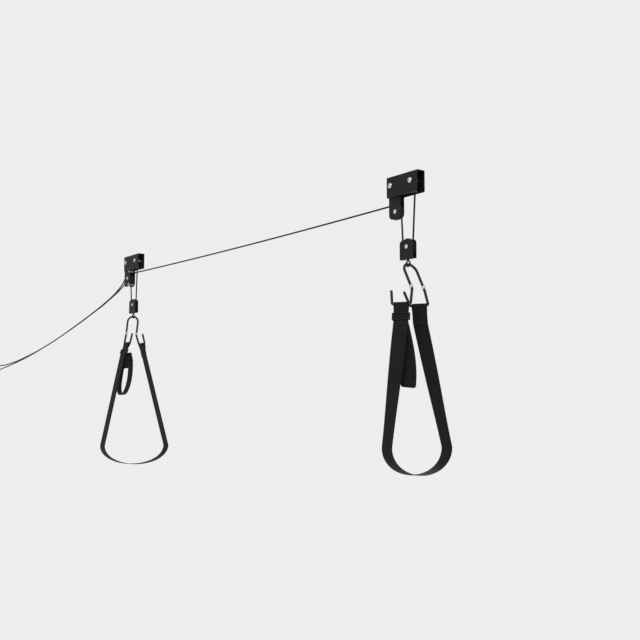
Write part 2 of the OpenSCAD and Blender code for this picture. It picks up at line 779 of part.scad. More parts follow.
// The two tails leave the far bracket side by side and go down to the cleat.
// Points from the far bracket's middle: along X, across Y and down Z, for the
// near rope and for the far rope.
exit_angle = 135;
near_tail_route = [
    [-80, 5, -109], [-100, 2, -128], [-130, -4, -149], [-170, -12, -172],
    [-221, -22, -196], [-290, -34, -226], [-375, -49, -258], [-450, -62, -286],
    [-531, -77, -315], [-640, -96, -352], [-747, -115, -386], [-830, -130, -410],
    [-905, -143, -430], [-990, -159, -450], [-1081, -175, -469], [-1170, -191, -482],
    [-1240, -205, -489]
];
far_tail_line = [
    [-80, -8, -109], [-100, -10, -128], [-130, -14, -150], [-170, -20, -174],
    [-221, -29, -199], [-290, -41, -229], [-375, -56, -262], [-450, -69, -290],
    [-531, -84, -319], [-640, -103, -357], [-747, -122, -391], [-830, -137, -415],
    [-905, -150, -436], [-990, -166, -458], [-1081, -182, -478], [-1170, -198, -496],
    [-1240, -211, -508]
];

function tail_path(route, y, side) =
    let (c = head_c(far_x, far_axle_drop), out = arc_way(exit_angle),
         first = [c[0] + pitch_r * cos(exit_angle), y, c[1] + pitch_r * sin(exit_angle)])
    concat([first + seat * out, first + rope_r * out],
        [for (p = route) [far_x + p[0], p[1], p[2]]],
        [knot_start(side) + [knot_len, 0, 0], knot_start(side) + [seat, 0, 0]]);

// Each rope ends in a knotted loop over one post of the cleat
function post_c(side) = [cleat_x, cleat_y, cleat_z + side * post_gap / 2];
function knot_start(side) = post_c(side) + [knot_at + knot_len / 2, 0, 0];

module rope_tail(route, y, side) {
    color(rope_black) tube(tail_path(route, y, side), rope_r, rope_sides,
        arc_way(exit_angle), [-1, 0, 0]);
}

knot_shares = [[0.55, 0], [0.9, 0.16], [0.86, 0.3], [1, 0.42], [0.92, 0.56],
    [1, 0.7], [0.9, 0.88], [0.86, 1]];
stub_len = 14;
module end_knot(side) {
    color(rope_black) translate(knot_start(side)) {
        rotate([0, -90, 0]) rotate_extrude() polygon(concat([[0, 0]],
            [for (s = knot_shares) [knot_r * s[0], knot_len * s[1]]], [[0, knot_len]]));
        translate([-knot_len / 2, 0, 0]) rotate([90 - 90 * side, 0, 0])
            cylinder(h = stub_len, r = rope_r);
    }
}

// Loop of rope from the knot round its post and back
module end_loop(side) {
    knot_end = knot_start(side) - [knot_len + seat, 0, 0];
    half_gap = [0, 0, rope_r + clear / 2];
    lead = [-rope_r, 0, 0];
    reach = norm(knot_end + lead + half_gap - post_c(side));
    away = acos(end_loop_r / reach) + asin(half_gap[2] / reach);
    loop = [for (i = [0:12]) let (a = away + (360 - 2 * away) * i / 12)
        post_c(side) + end_loop_r * [cos(a), 0, sin(a)]];
    color(rope_black) tube(concat([knot_end + half_gap, knot_end + half_gap + lead],
        loop, [knot_end - half_gap + lead, knot_end - half_gap]), rope_r, rope_sides,
        lead, -lead);
}

// Wall cleat: a base with two screw holes, two posts and the horns along Z
module cleat_body() {
    base_y = cleat_y - cleat_stand / 2 - cleat_base_t;
    horn_y = cleat_y + cleat_stand / 2 + horn_d / 4;
    base_len = cleat_hole_gap + cleat_base_w;
    color(nylon_black) difference() {
        union() {
            translate([cleat_x, base_y + cleat_base_t, cleat_z]) rotate([90, 0, 0])
                linear_extrude(cleat_base_t) union() {
                    square([cleat_base_w, base_len - cleat_base_w], center = true);
                    for (side = [-1, 1]) translate([0, side * (base_len - cleat_base_w) / 2])
                        circle(cleat_base_w / 2);
                }
            for (side = [-1, 1]) translate([0, 0, side * post_gap / 2])
                pin_y(cleat_x, (base_y + horn_y) / 2, cleat_z, post_d / 2,
                    horn_y - base_y);
            translate([cleat_x, horn_y, cleat_z - cleat_len / 2]) rotate_extrude()
                polygon([[0, 0], [horn_d / 4, 0], [horn_d * 0.36, horn_d / 5],
                    [horn_d / 2, cleat_len * 0.3], [horn_d / 2, cleat_len * 0.7],
                    [horn_d * 0.36, cleat_len - horn_d / 5],
                    [horn_d / 4, cleat_len], [0, cleat_len]]);
        }
        for (side = [-1, 1])
            pin_y(cleat_x, base_y + cleat_base_t / 2,
                cleat_z + side * cleat_hole_gap / 2, cleat_screw_d / 2 + seat,
                cleat_base_t + 2 * cut);
    }
}

// Screws in the cleat's base, with low round heads and their ends in the wall
module cleat_screw_pair() {
    base_y = cleat_y - cleat_stand / 2 - cleat_base_t;
    head_r = cleat_screw_d * 0.85;
    head_h = cleat_screw_d / 2;
    color(zinc) for (side = [-1, 1])
        translate([cleat_x, base_y + cleat_base_t,
            cleat_z + side * cleat_hole_gap / 2]) rotate([-90, 0, 0]) {
            translate([0, 0, -cleat_base_t]) cylinder(h = cleat_base_t, r = cleat_screw_d / 2);
            rotate_extrude() intersection() {
                translate([0, head_h - rivet_dome(head_r, head_h)])
                    circle(rivet_dome(head_r, head_h));
                square([head_r, head_h]);
            }
        }
}

// Keeper pins of the far cage: place along the channel, depth and radius
keeper_spots = [[-30, 140, 3], [-24, 77.5, 2.5]];

module keeper_pins() {
    color(zinc) for (spot = keeper_spots)
        rivet_pin(far_x + spot[0], 0, -spot[1], spot[2], 2 * spot[2], spot[2], double_w);
}

// Riveted axles of the brackets and of the blocks
module bracket_axle(x, axle_drop, grip) {
    color(zinc) rivet_pin(x + cage_x, 0, -axle_drop, axle_r, rivet_d / 2, rivet_h, grip);
}

module block_axle(x, y) {
    color(zinc) rivet_pin(x, y, -block_drop, axle_r, rivet_d / 2, rivet_h, single_w);
}

module rope_knots() {
    end_knot(1);
    end_knot(-1);
}

module rope_loops() {
    end_loop(1);
    end_loop(-1);
}

// Places of the side washers beside one sheave and beside two
washer_out = sheave_w / 2 + side_gap / 2;
single_washers = [-washer_out, washer_out];
double_washers = [-sheave_w - side_gap, 0, sheave_w + side_gap];

channel(0);  // near_channel
cage(0, single_gap, near_cage_drop, near_axle_drop, []);  // near_cage
bolts(0);  // near_bolts
nuts(0);  // near_nuts
sleeves(0, single_gap);  // near_sleeves
bracket_axle(0, near_axle_drop, single_w);  // near_axle
sheave(cage_x, 0, -near_axle_drop);  // near_sheave
side_washers(cage_x, -near_axle_drop, single_washers);  // near_washers
rope_anchor(0, near_block_x, 0);  // near_rope_anchor
rope_crimp(0, near_block_x, 0);  // near_rope_crimp
fall_fixed(0, near_block_x, 0);  // near_fall_fixed
fall_hauled(0, near_block_x, near_axle_drop, 0);  // near_fall_hauled
rope_turn(0, near_block_x, near_axle_drop, 0);  // near_rope_turn
block_shell(near_block_x, 0);  // near_block
block_axle(near_block_x, 0);  // near_block_axle
sheave(near_block_x, 0, -block_drop);  // near_block_sheave
side_washers(near_block_x, -block_drop, single_washers);  // near_block_washers
eye(near_block_x, 0);  // near_eye
yoke(near_block_x, 0, near_hang);  // near_yoke
collars(near_block_x, 0, near_hang);  // near_collars
hook(near_block_x, 0, near_hang, -1);  // near_front_hook
hook(near_block_x, 0, near_hang, 1);  // near_back_hook
sling(near_block_x, 0, near_hang, near_hull_x,  // near_strap
        near_hull_y, near_sling_half, near_chine_drop, near_tail());
slide(near_block_x, 0, near_hang);  // near_slide
channel(far_x);  // far_channel
cage(far_x, double_gap, far_cage_drop, far_axle_drop, keeper_spots);  // far_cage
bolts(far_x);  // far_bolts
nuts(far_x);  // far_nuts
sleeves(far_x, double_gap);  // far_sleeves
bracket_axle(far_x, far_axle_drop, double_w);  // far_axle
sheave(far_x + cage_x, far_y, -far_axle_drop);  // far_sheave
sheave(far_x + cage_x, pass_y, -far_axle_drop);  // pass_sheave
side_washers(far_x + cage_x, -far_axle_drop, double_washers);  // far_washers
keeper_pins();  // far_keeper_pins
rope_anchor(far_x, far_block_x, far_y);  // far_rope_anchor
rope_crimp(far_x, far_block_x, far_y);  // far_rope_crimp
fall_fixed(far_x, far_block_x, far_y);  // far_fall_fixed
fall_hauled(far_x, far_block_x, far_axle_drop, far_y);  // far_fall_hauled
rope_turn(far_x, far_block_x, far_axle_drop, far_y);  // far_rope_turn
block_shell(far_x + far_block_x, far_y);  // far_block
block_axle(far_x + far_block_x, far_y);  // far_block_axle
sheave(far_x + far_block_x, far_y, -block_drop);  // far_block_sheave
translate([0, far_y, 0])  // far_block_washers
    side_washers(far_x + far_block_x, -block_drop, single_washers);
eye(far_x + far_block_x, far_y);  // far_eye
yoke(far_x + far_block_x, far_y, far_hang);  // far_yoke
collars(far_x + far_block_x, far_y, far_hang);  // far_collars
hook(far_x + far_block_x, far_y, far_hang, -1);  // far_front_hook
hook(far_x + far_block_x, far_y, far_hang, 1);  // far_back_hook
sling(far_x + far_block_x, far_y, far_hang, far_x + far_hull_x,  // far_strap
        far_hull_y, far_sling_half, far_chine_drop, far_tail());
slide(far_x + far_block_x, far_y, far_hang);  // far_slide
near_line();  // near_rope_line
rope_tail(near_tail_route, pass_y, 1);  // near_rope_tail
far_head();  // far_rope_head
rope_tail(far_tail_line, far_y, -1);  // far_rope_tail
rope_knots();
rope_loops();
cleat_body();  // cleat
cleat_screw_pair();  // cleat_screws
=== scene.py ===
import bpy
import bmesh
import math
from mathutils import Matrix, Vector


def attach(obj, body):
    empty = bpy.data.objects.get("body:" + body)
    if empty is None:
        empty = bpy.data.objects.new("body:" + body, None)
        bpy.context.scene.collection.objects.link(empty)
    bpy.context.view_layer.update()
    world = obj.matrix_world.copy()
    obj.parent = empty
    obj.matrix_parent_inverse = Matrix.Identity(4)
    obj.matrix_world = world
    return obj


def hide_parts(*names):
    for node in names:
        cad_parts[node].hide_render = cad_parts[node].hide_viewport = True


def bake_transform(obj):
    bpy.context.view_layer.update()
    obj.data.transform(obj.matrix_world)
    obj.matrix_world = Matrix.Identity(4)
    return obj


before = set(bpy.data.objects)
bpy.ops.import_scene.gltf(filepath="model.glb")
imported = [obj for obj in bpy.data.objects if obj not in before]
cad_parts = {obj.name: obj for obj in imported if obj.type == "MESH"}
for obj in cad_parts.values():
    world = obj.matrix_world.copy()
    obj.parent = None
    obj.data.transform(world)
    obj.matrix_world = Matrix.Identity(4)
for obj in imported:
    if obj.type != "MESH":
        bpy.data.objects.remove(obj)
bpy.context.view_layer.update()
scene = bpy.context.scene
mm = 0.001

# Camera, fitted to the picture
view = {"place": (2.4365, -2.1699, -0.8267), "turn": 53.29, "pitch": 5.98,
        "lens": 56.25, "sensor": 36.0}
cameraData = bpy.data.cameras.new("viewCamera")
cameraData.lens = view["lens"]
cameraData.sensor_width = view["sensor"]
cameraData.sensor_fit = "HORIZONTAL"
cameraData.clip_end = 60
cameraObject = bpy.data.objects.new("viewCamera", cameraData)
scene.collection.objects.link(cameraObject)
cameraObject.location = view["place"]
cameraObject.rotation_euler = (math.radians(90 + view["pitch"]), 0, math.radians(view["turn"]))
scene.camera = cameraObject
print("camera set")


# Node helpers for the materials
def newMaterial(name):
    mat = bpy.data.materials.new(name)
    mat.use_nodes = True
    nodes = mat.node_tree.nodes
    shader = next(n for n in nodes if n.type == "BSDF_PRINCIPLED")
    return mat, nodes, mat.node_tree.links, shader


def addNode(nodes, kind, **values):
    node = nodes.new(kind)
    for key, value in values.items():
        if hasattr(node, key):
            setattr(node, key, value)
        else:
            node.inputs[key.replace("_", " ")].default_value = value
    return node


def rampNode(nodes, stops):
    node = nodes.new("ShaderNodeValToRGB")
    band = node.color_ramp
    band.elements[0].position, band.elements[0].color = stops[0][0], stops[0][1]
    band.elements[1].position, band.elements[1].color = stops[-1][0], stops[-1][1]
    for place, colour in stops[1:-1]:
        band.elements.new(place).color = colour
    return node


def grey(value, tint=(1, 1, 1)):
    return (value * tint[0], value * tint[1], value * tint[2], 1)


def mathNode(nodes, links, operation, a, b=None, c=None):
    node = nodes.new("ShaderNodeMath")
    node.operation = operation
    for slot, value in zip(node.inputs, (a, b, c)):
        if value is None:
            continue
        if isinstance(value, (int, float)):
            slot.default_value = value
        else:
            links.new(value, slot)
    return node.outputs[0]


def setShader(shader, values):
    for key, value in values.items():
        shader.inputs[key].default_value = value


def bumpFrom(nodes, links, shader, height, strength, distance):
    bump = nodes.new("ShaderNodeBump")
    bump.inputs["Strength"].default_value = strength
    bump.inputs["Distance"].default_value = distance
    links.new(height, bump.inputs["Height"])
    links.new(bump.outputs["Normal"], shader.inputs["Normal"])
    return bump


# Powder coat: orange-peel grain, faint dust, rubbed spots and chipped edges
powderCoat = {"colour": 0.0055, "dust": 0.011, "worn": 0.04, "grain": 900, "depth": 0.00012}


def powderCoatMaterial():
    mat, nodes, links, shader = newMaterial("powderCoatBlack")
    place = addNode(nodes, "ShaderNodeTexCoord")
    grain = addNode(nodes, "ShaderNodeTexNoise", Scale=powderCoat["grain"], Detail=3.0)
    cloud = addNode(nodes, "ShaderNodeTexNoise", Scale=38.0, Detail=6.0, Roughness=0.62)
    rub = addNode(nodes, "ShaderNodeTexNoise", Scale=240.0, Detail=5.0, Roughness=0.7)
    for tex in (grain, cloud, rub):
        links.new(place.outputs["Object"], tex.inputs["Vector"])
    tone = rampNode(nodes, [(0.35, grey(powderCoat["colour"])),
                            (0.62, grey(powderCoat["colour"] * 1.3)),
                            (0.8, grey(powderCoat["dust"], (1, 0.98, 0.94)))])
    links.new(cloud.outputs["Fac"], tone.inputs["Fac"])
    scuff = rampNode(nodes, [(0.70, grey(0)), (0.78, grey(1))])
    links.new(rub.outputs["Fac"], scuff.inputs["Fac"])
    edge = addNode(nodes, "ShaderNodeAttribute", attribute_name="edgeWear")
    chips = rampNode(nodes, [(0.46, grey(0)), (0.58, grey(1))])
    links.new(rub.outputs["Fac"], chips.inputs["Fac"])
    worn = mathNode(nodes, links, "MULTIPLY", edge.outputs["Fac"], chips.outputs["Color"])
    rubbed = mathNode(nodes, links, "MAXIMUM", worn, scuff.outputs["Color"])
    mixed = addNode(nodes, "ShaderNodeMix", data_type="RGBA")
    links.new(rubbed, mixed.inputs["Factor"])
    links.new(tone.outputs["Color"], mixed.inputs[6])
    mixed.inputs[7].default_value = grey(powderCoat["worn"], (1, 0.99, 0.97))
    links.new(mixed.outputs[2], shader.inputs["Base Color"])
    rough = rampNode(nodes, [(0.3, grey(0.36)), (0.7, grey(0.56))])
    links.new(cloud.outputs["Fac"], rough.inputs["Fac"])
    links.new(rough.outputs["Color"], shader.inputs["Roughness"])
    shader.inputs["Specular IOR Level"].default_value = 0.24
    bumpFrom(nodes, links, shader, grain.outputs["Fac"], 0.55, powderCoat["depth"])
    return mat


# Zinc plate: cool blotches, faint brushed lines, dulled spots
zincPlate = {"light": 0.74, "dark": 0.50, "rough": 0.30}


def zincMaterial():
    mat, nodes, links, shader = newMaterial("zincPlate")
    place = addNode(nodes, "ShaderNodeTexCoord")
    blotch = addNode(nodes, "ShaderNodeTexNoise", Scale=170.0, Detail=5.0, Roughness=0.6)
    stretch = addNode(nodes, "ShaderNodeMapping")
    stretch.inputs["Scale"].default_value = (1, 0.06, 1)
    lines = addNode(nodes, "ShaderNodeTexNoise", Scale=1900.0, Detail=2.0)
    links.new(place.outputs["Object"], blotch.inputs["Vector"])
    links.new(place.outputs["Object"], stretch.inputs["Vector"])
    links.new(stretch.outputs["Vector"], lines.inputs["Vector"])
    tone = rampNode(nodes, [(0.3, grey(zincPlate["dark"], (0.97, 0.99, 1))),
                            (0.55, grey(zincPlate["light"], (0.98, 0.99, 1))),
                            (0.75, grey(0.66, (1, 0.99, 0.95)))])
    links.new(blotch.outputs["Fac"], tone.inputs["Fac"])
    links.new(tone.outputs["Color"], shader.inputs["Base Color"])
    rough = rampNode(nodes, [(0.3, grey(zincPlate["rough"])), (0.75, grey(0.52))])
    links.new(blotch.outputs["Fac"], rough.inputs["Fac"])
    links.new(rough.outputs["Color"], shader.inputs["Roughness"])
    shader.inputs["Metallic"].default_value = 1.0
    bumpFrom(nodes, links, shader, lines.outputs["Fac"], 0.25, 0.00004)
    return mat


# Finishes of two noises: a cloud sets colour and gloss, a fine skin makes the relief
def cloudedMaterial(name, cloud, skin, tone, rough, relief):
    mat, nodes, links, shader = newMaterial(name)
    place = addNode(nodes, "ShaderNodeTexCoord")
    cloudTex = addNode(nodes, "ShaderNodeTexNoise", **cloud)
    skinTex = addNode(nodes, "ShaderNodeTexNoise", **skin)
    for tex in (cloudTex, skinTex):
        links.new(place.outputs["Object"], tex.inputs["Vector"])
    colour = rampNode(nodes, tone)
    links.new(cloudTex.outputs["Fac"], colour.inputs["Fac"])
    links.new(colour.outputs["Color"], shader.inputs["Base Color"])
    if isinstance(rough, list):
        gloss = rampNode(nodes, rough)
        links.new(cloudTex.outputs["Fac"], gloss.inputs["Fac"])
        links.new(gloss.outputs["Color"], shader.inputs["Roughness"])
    else:
        shader.inputs["Roughness"].default_value = rough
    bumpFrom(nodes, links, shader, skinTex.outputs["Fac"], *relief)
    return mat


# Moulded nylon of the sheaves and the cleat: satin, with rope marks
nylonFinish = {
    "name": "mouldedNylon", "cloud": {"Scale": 120.0, "Detail": 6.0, "Roughness": 0.65},
    "skin": {"Scale": 2400.0, "Detail": 1.0}, "tone": [(0.4, grey(0.008)), (0.78, grey(0.018))],
    "rough": [(0.3, grey(0.46)), (0.7, grey(0.6))], "relief": (0.3, 0.00004),
}

# Soft vinyl sleeve on the hook rod: dipped, slightly rippled, a little dust
vinylSleeve = {
    "name": "vinylSleeve", "cloud": {"Scale": 55.0, "Detail": 7.0, "Roughness": 0.68},
    "skin": {"Scale": 150.0, "Detail": 3.0},
    "tone": [(0.45, grey(0.004)), (0.8, grey(0.010, (1, 0.98, 0.95)))],
    "rough": [(0.35, grey(0.36)), (0.75, grey(0.6))], "relief": (0.35, 0.0003),
}

# Bonded thread of the stitches
bondedThread = {
    "name": "bondedThread", "cloud": {"Scale": 3200.0, "Detail": 2.0},
    "skin": {"Scale": 3200.0, "Detail": 2.0}, "tone": [(0.3, grey(0.007)), (0.7, grey(0.018))],
    "rough": 0.5, "relief": (0.4, 0.0001),
}


# Braided rope: two families of strands that cross, on the rope's own UV map; the colour follows the
# braid's relief, with painted shade in the grooves between strands
ropeBraid = {"strands": 8, "pitch": 0.0115, "dark": 0.003, "light": 0.014,
             "shader": {"Roughness": 0.78, "Specular IOR Level": 0.25, "Sheen Weight": 0.04,
                        "Sheen Roughness": 0.4}}


def ropeMaterial():
    mat, nodes, links, shader = newMaterial("braidedRope")
    uv = addNode(nodes, "ShaderNodeUVMap", uv_map="pathMap")
    split = nodes.new("ShaderNodeSeparateXYZ")
    links.new(uv.outputs["UV"], split.inputs[0])
    around = mathNode(nodes, links, "MULTIPLY", split.outputs["X"], ropeBraid["strands"])
    along = mathNode(nodes, links, "DIVIDE", split.outputs["Y"], ropeBraid["pitch"] / 4)
    waves = []
    for operation in ("ADD", "SUBTRACT"):
        phase = mathNode(nodes, links, operation, around, along)
        turn = mathNode(nodes, links, "MULTIPLY", phase, math.pi)
        waves.append(mathNode(nodes, links, "ABSOLUTE", mathNode(nodes, links, "SINE", turn)))
    half = mathNode(nodes, links, "MULTIPLY", along, math.pi)
    side = mathNode(nodes, links, "MULTIPLY", around, math.pi)
    choose = mathNode(nodes, links, "GREATER_THAN", mathNode(
        nodes, links, "MULTIPLY", mathNode(nodes, links, "SINE", half),
        mathNode(nodes, links, "COSINE", side)), 0.0)
    other = mathNode(nodes, links, "SUBTRACT", 1.0, choose)
    height = mathNode(nodes, links, "ADD", mathNode(nodes, links, "MULTIPLY", waves[0], choose),
                      mathNode(nodes, links, "MULTIPLY", waves[1], other))
    fuzz = addNode(nodes, "ShaderNodeTexNoise", Scale=2600.0, Detail=3.0)
    place = addNode(nodes, "ShaderNodeTexCoord")
    links.new(place.outputs["Object"], fuzz.inputs["Vector"])
    full = mathNode(nodes, links, "MULTIPLY_ADD", fuzz.outputs["Fac"], 0.35, height)
    # painted shade: low relief (the grooves between strands) gets the dark tone, and the fibre fuzz
    # adds random tone
    tone = rampNode(nodes, [(0.1, grey(ropeBraid["dark"])), (0.75, grey(ropeBraid["light"] * 0.6)),
                            (1.0, grey(ropeBraid["light"], (1, 0.99, 0.97)))])
    links.new(full, tone.inputs["Fac"])
    links.new(tone.outputs["Color"], shader.inputs["Base Color"])
    setShader(shader, ropeBraid["shader"])
    bumpFrom(nodes, links, shader, full, 0.9, 0.0006)
    return mat


# Webbing: herringbone ribs across the width, on the strap's own UV map in metres; the colour
# follows the weave's relief, with painted shade in the grooves between ribs
webbingWeave = {"rib": 0.0024, "pick": 0.0016, "dark": 0.0025, "light": 0.012,
                "shader": {"Roughness": 0.72, "Specular IOR Level": 0.14, "Sheen Weight": 0.03,
                           "Sheen Roughness": 0.45}}


def webbingMaterial():
    mat, nodes, links, shader = newMaterial("wovenWebbing")
    uv = addNode(nodes, "ShaderNodeUVMap", uv_map="pathMap")
    split = nodes.new("ShaderNodeSeparateXYZ")
    links.new(uv.outputs["UV"], split.inputs[0])
    across = mathNode(nodes, links, "DIVIDE", split.outputs["X"], webbingWeave["rib"])
    along = mathNode(nodes, links, "DIVIDE", split.outputs["Y"], webbingWeave["pick"])
    fold = mathNode(nodes, links, "PINGPONG", across, 1.0)
    slant = mathNode(nodes, links, "MULTIPLY_ADD", fold, 1.0, along)
    pick = mathNode(nodes, links, "ABSOLUTE", mathNode(
        nodes, links, "SINE", mathNode(nodes, links, "MULTIPLY", slant, math.pi)))
    rib = mathNode(nodes, links, "ABSOLUTE", mathNode(
        nodes, links, "SINE", mathNode(nodes, links, "MULTIPLY", across, math.pi)))
    height = mathNode(nodes, links, "MULTIPLY_ADD", rib, 0.45,
                      mathNode(nodes, links, "MULTIPLY", pick, 0.55))
    place = addNode(nodes, "ShaderNodeTexCoord")
    fuzz = addNode(nodes, "ShaderNodeTexNoise", Scale=1900.0, Detail=3.0)
    fade = addNode(nodes, "ShaderNodeTexNoise", Scale=14.0, Detail=5.0, Roughness=0.6)
    links.new(place.outputs["Object"], fuzz.inputs["Vector"])
    links.new(place.outputs["Object"], fade.inputs["Vector"])
    full = mathNode(nodes, links, "MULTIPLY_ADD", fuzz.outputs["Fac"], 0.3, height)
    # painted shade: low relief (the grooves between ribs and picks) gets the dark tone; the fuzz
    # adds random tone and the large noise below is real fading
    tone = rampNode(nodes, [(0.15, grey(webbingWeave["dark"])),
                            (0.85, grey(webbingWeave["light"] * 0.62)),
                            (1.0, grey(webbingWeave["light"]))])
    links.new(full, tone.inputs["Fac"])
    worn = rampNode(nodes, [(0.35, grey(0.85)), (0.75, grey(1.35, (1, 0.99, 0.97)))])
    links.new(fade.outputs["Fac"], worn.inputs["Fac"])
    mixed = addNode(nodes, "ShaderNodeMix", data_type="RGBA", blend_type="MULTIPLY")
    mixed.inputs["Factor"].default_value = 1.0
    links.new(tone.outputs["Color"], mixed.inputs[6])
    links.new(worn.outputs["Color"], mixed.inputs[7])
    links.new(mixed.outputs[2], shader.inputs["Base Color"])
    setShader(shader, webbingWeave["shader"])
    bumpFrom(nodes, links, shader, full, 0.8, 0.00035)
    return mat


finish = {
    "powder": powderCoatMaterial(), "zinc": zincMaterial(),
    "nylon": cloudedMaterial(**nylonFinish), "vinyl": cloudedMaterial(**vinylSleeve),
    "rope": ropeMaterial(), "webbing": webbingMaterial(),
    "thread": cloudedMaterial(**bondedThread),
}
print("materials made")


# Paths and swept skins, all in millimetres until the mesh is written
def towards(angle):
    return Vector((math.cos(math.radians(angle)), math.sin(math.radians(angle)), 0))


def tangentsOf(path, first=None, last=None):
    count = len(path)
    out = [(path[min(i + 1, count - 1)] - path[max(i - 1, 0)]).normalized() for i in range(count)]
    if first is not None:
        out[0] = Vector(first).normalized()
    if last is not None:
        out[-1] = Vector(last).normalized()
    return out


def meshObject(name, points, faces, uvs, material):
    mesh = bpy.data.meshes.new(name)
    mesh.from_pydata([p * mm for p in points], [], faces)
    layer = mesh.uv_layers.new(name="pathMap")
    for face in mesh.polygons:
        face.use_smooth = True
        for loop, uv in zip(face.loop_indices, uvs[face.index]):
            layer.data[loop].uv = uv
    mesh.materials.append(material)
    mesh.update()
    piece = bpy.data.objects.new(name, mesh)
    scene.collection.objects.link(piece)
    return piece


# Round skin along a path; rings may have their own radius; ends get a small dome
def tubeObject(name, path, radius, material, sides=20, first=None, last=None, dome=0.35):
    path = [Vector(p) for p in path]
    radii = list(radius) if isinstance(radius, (list, tuple)) else [radius] * len(path)
    runs = tangentsOf(path, first, last)
    guess = Vector((0, 1, 0)) if abs(runs[0].y) < 0.9 else Vector((1, 0, 0))
    normal = (guess - runs[0] * guess.dot(runs[0])).normalized()
    points, faces, uvs, rings = [], [], [], []
    length = 0.0
    for i, place in enumerate(path):
        if i:
            length += (place - path[i - 1]).length
            normal = (normal - runs[i] * normal.dot(runs[i])).normalized()
        side = runs[i].cross(normal)
        rings.append((len(points), length))
        for k in range(sides):
            turn = 2 * math.pi * k / sides
            points.append(place + radii[i] * (math.cos(turn) * normal + math.sin(turn) * side))
    for (a, la), (b, lb) in zip(rings, rings[1:]):
        for k in range(sides):
            n = (k + 1) % sides
            faces.append((a + k, a + n, b + n, b + k))
            u0, u1 = k / sides, (k + 1) / sides
            uvs.append([(u0, la * mm), (u1, la * mm), (u1, lb * mm), (u0, lb * mm)])
    for base, flip, place, run, r in ((rings[0][0], True, path[0], -runs[0], radii[0]),
                                      (rings[-1][0], False, path[-1], runs[-1], radii[-1])):
        points.append(place + run * r * dome)
        tip = len(points) - 1
        edge = rings[0][1] if flip else rings[-1][1]
        for k in range(sides):
            n = (k + 1) % sides
            faces.append((base + n, base + k, tip) if flip else (base + k, base + n, tip))
            uvs.append([(k / sides, edge * mm)] * 3)
    return meshObject(name, points, faces, uvs, material)


# Webbing skin: a flat section with round edges; UV in metres across and along
def ribbonObject(name, path, turns, width, thick, material, taper=None):
    runs = tangentsOf(path)
    half, lip = width / 2, thick / 2
    flat = [half - lip - (width - thick) * i / 8 for i in range(9)]
    section = [(x, lip) for x in flat]
    section += [(-half + lip - lip * math.sin(math.radians(a)), lip * math.cos(math.radians(a)))
                for a in (30, 60, 90, 120, 150)]
    section += [(x, -lip) for x in reversed(flat)]
    section += [(half - lip + lip * math.sin(math.radians(a)), -lip * math.cos(math.radians(a)))
                for a in (30, 60, 90, 120, 150)]
    sides = len(section)
    points, faces, uvs = [], [], []
    length, marks, frames = 0.0, [], []
    for i, place in enumerate(path):
        if i:
            length += (place - path[i - 1]).length
        marks.append(length)
        normal = runs[i].cross(towards(turns[i])).normalized()
        across = normal.cross(runs[i])
        frames.append((place, across, normal))
        narrow = taper(length) if taper else 1.0
        for x, y in section:
            points.append(place + across * x * narrow + normal * y)
    for i in range(len(path) - 1):
        for k in range(sides):
            n = (k + 1) % sides
            a, b = i * sides, (i + 1) * sides
            faces.append((a + n, a + k, b + k, b + n))
            ux, un = section[k][0] * mm, section[n][0] * mm
            uvs.append([(un, marks[i] * mm), (ux, marks[i] * mm),
                        (ux, marks[i + 1] * mm), (un, marks[i + 1] * mm)])
    last = (len(path) - 1) * sides
    faces.append(tuple(range(sides)))
    faces.append(tuple(last + sides - 1 - k for k in range(sides)))
    uvs.append([(section[k][0] * mm, 0) for k in range(sides)])
    uvs.append([(section[sides - 1 - k][0] * mm, length * mm) for k in range(sides)])
    piece = meshObject(name, points, faces, uvs, material)
    for face in piece.data.polygons[-2:]:
        face.use_smooth = False
    return piece, frames, marks


def arcPath(centre, radius, start, end, y, step=4.0):
    count = max(2, int(abs(end - start) / step))
    turns = [math.radians(start + (end - start) * i / count) for i in range(count + 1)]
    return [Vector((centre[0] + radius * math.cos(a), y, centre[1] + radius * math.sin(a)))
            for a in turns]


def arcRun(angle):
    return Vector((-math.sin(math.radians(angle)), 0, math.cos(math.radians(angle))))


def bendPath(before, corner, after, radius, steps):
    a, b = (before - corner).normalized(), (after - corner).normalized()
    half = a.angle(b) / 2
    middle = corner + (a + b).normalized() * radius / math.sin(half)
    start = corner + a * radius / math.tan(half)
    u = (start - middle).normalized()
    w = a.cross(b).cross(u).normalized()
    if w.dot(a) > 0:
        w = -w
    turn = math.pi - 2 * half
    return [middle + radius * (math.cos(turn * i / steps) * u + math.sin(turn * i / steps) * w)
            for i in range(steps + 1)]


# Smooth curve through points: the piece from the second of four points to the third
def curvePiece(before, start, end, after, step):
    gap = (end - start).length
    m1 = (end - before).normalized() * gap
    m2 = (after - start).normalized() * gap
    parts = max(1, int(gap / step))
    out = []
    for k in range(parts):
        t = k / parts
        out.append((2 * t ** 3 - 3 * t ** 2 + 1) * start + (t ** 3 - 2 * t ** 2 + t) * m1
                   + (-2 * t ** 3 + 3 * t ** 2) * end + (t ** 3 - t ** 2) * m2)
    return out


def smoothPath(points, step, first=None, last=None):
    points = [Vector(p) for p in points]
    before, after = points[0] * 2 - points[1], points[-1] * 2 - points[-2]
    if first:
        before = points[0] - first * (points[1] - points[0]).length
    if last:
        after = points[-1] + last * (points[-1] - points[-2]).length
    chain = [before] + points + [after]
    out = []
    for i in range(len(points) - 1):
        out += curvePiece(*chain[i:i + 4], step)
    return out + [points[-1]]


def straightPath(a, b, step):
    parts = max(1, int((b - a).length / step))
    return [a + (b - a) * i / parts for i in range(parts + 1)]


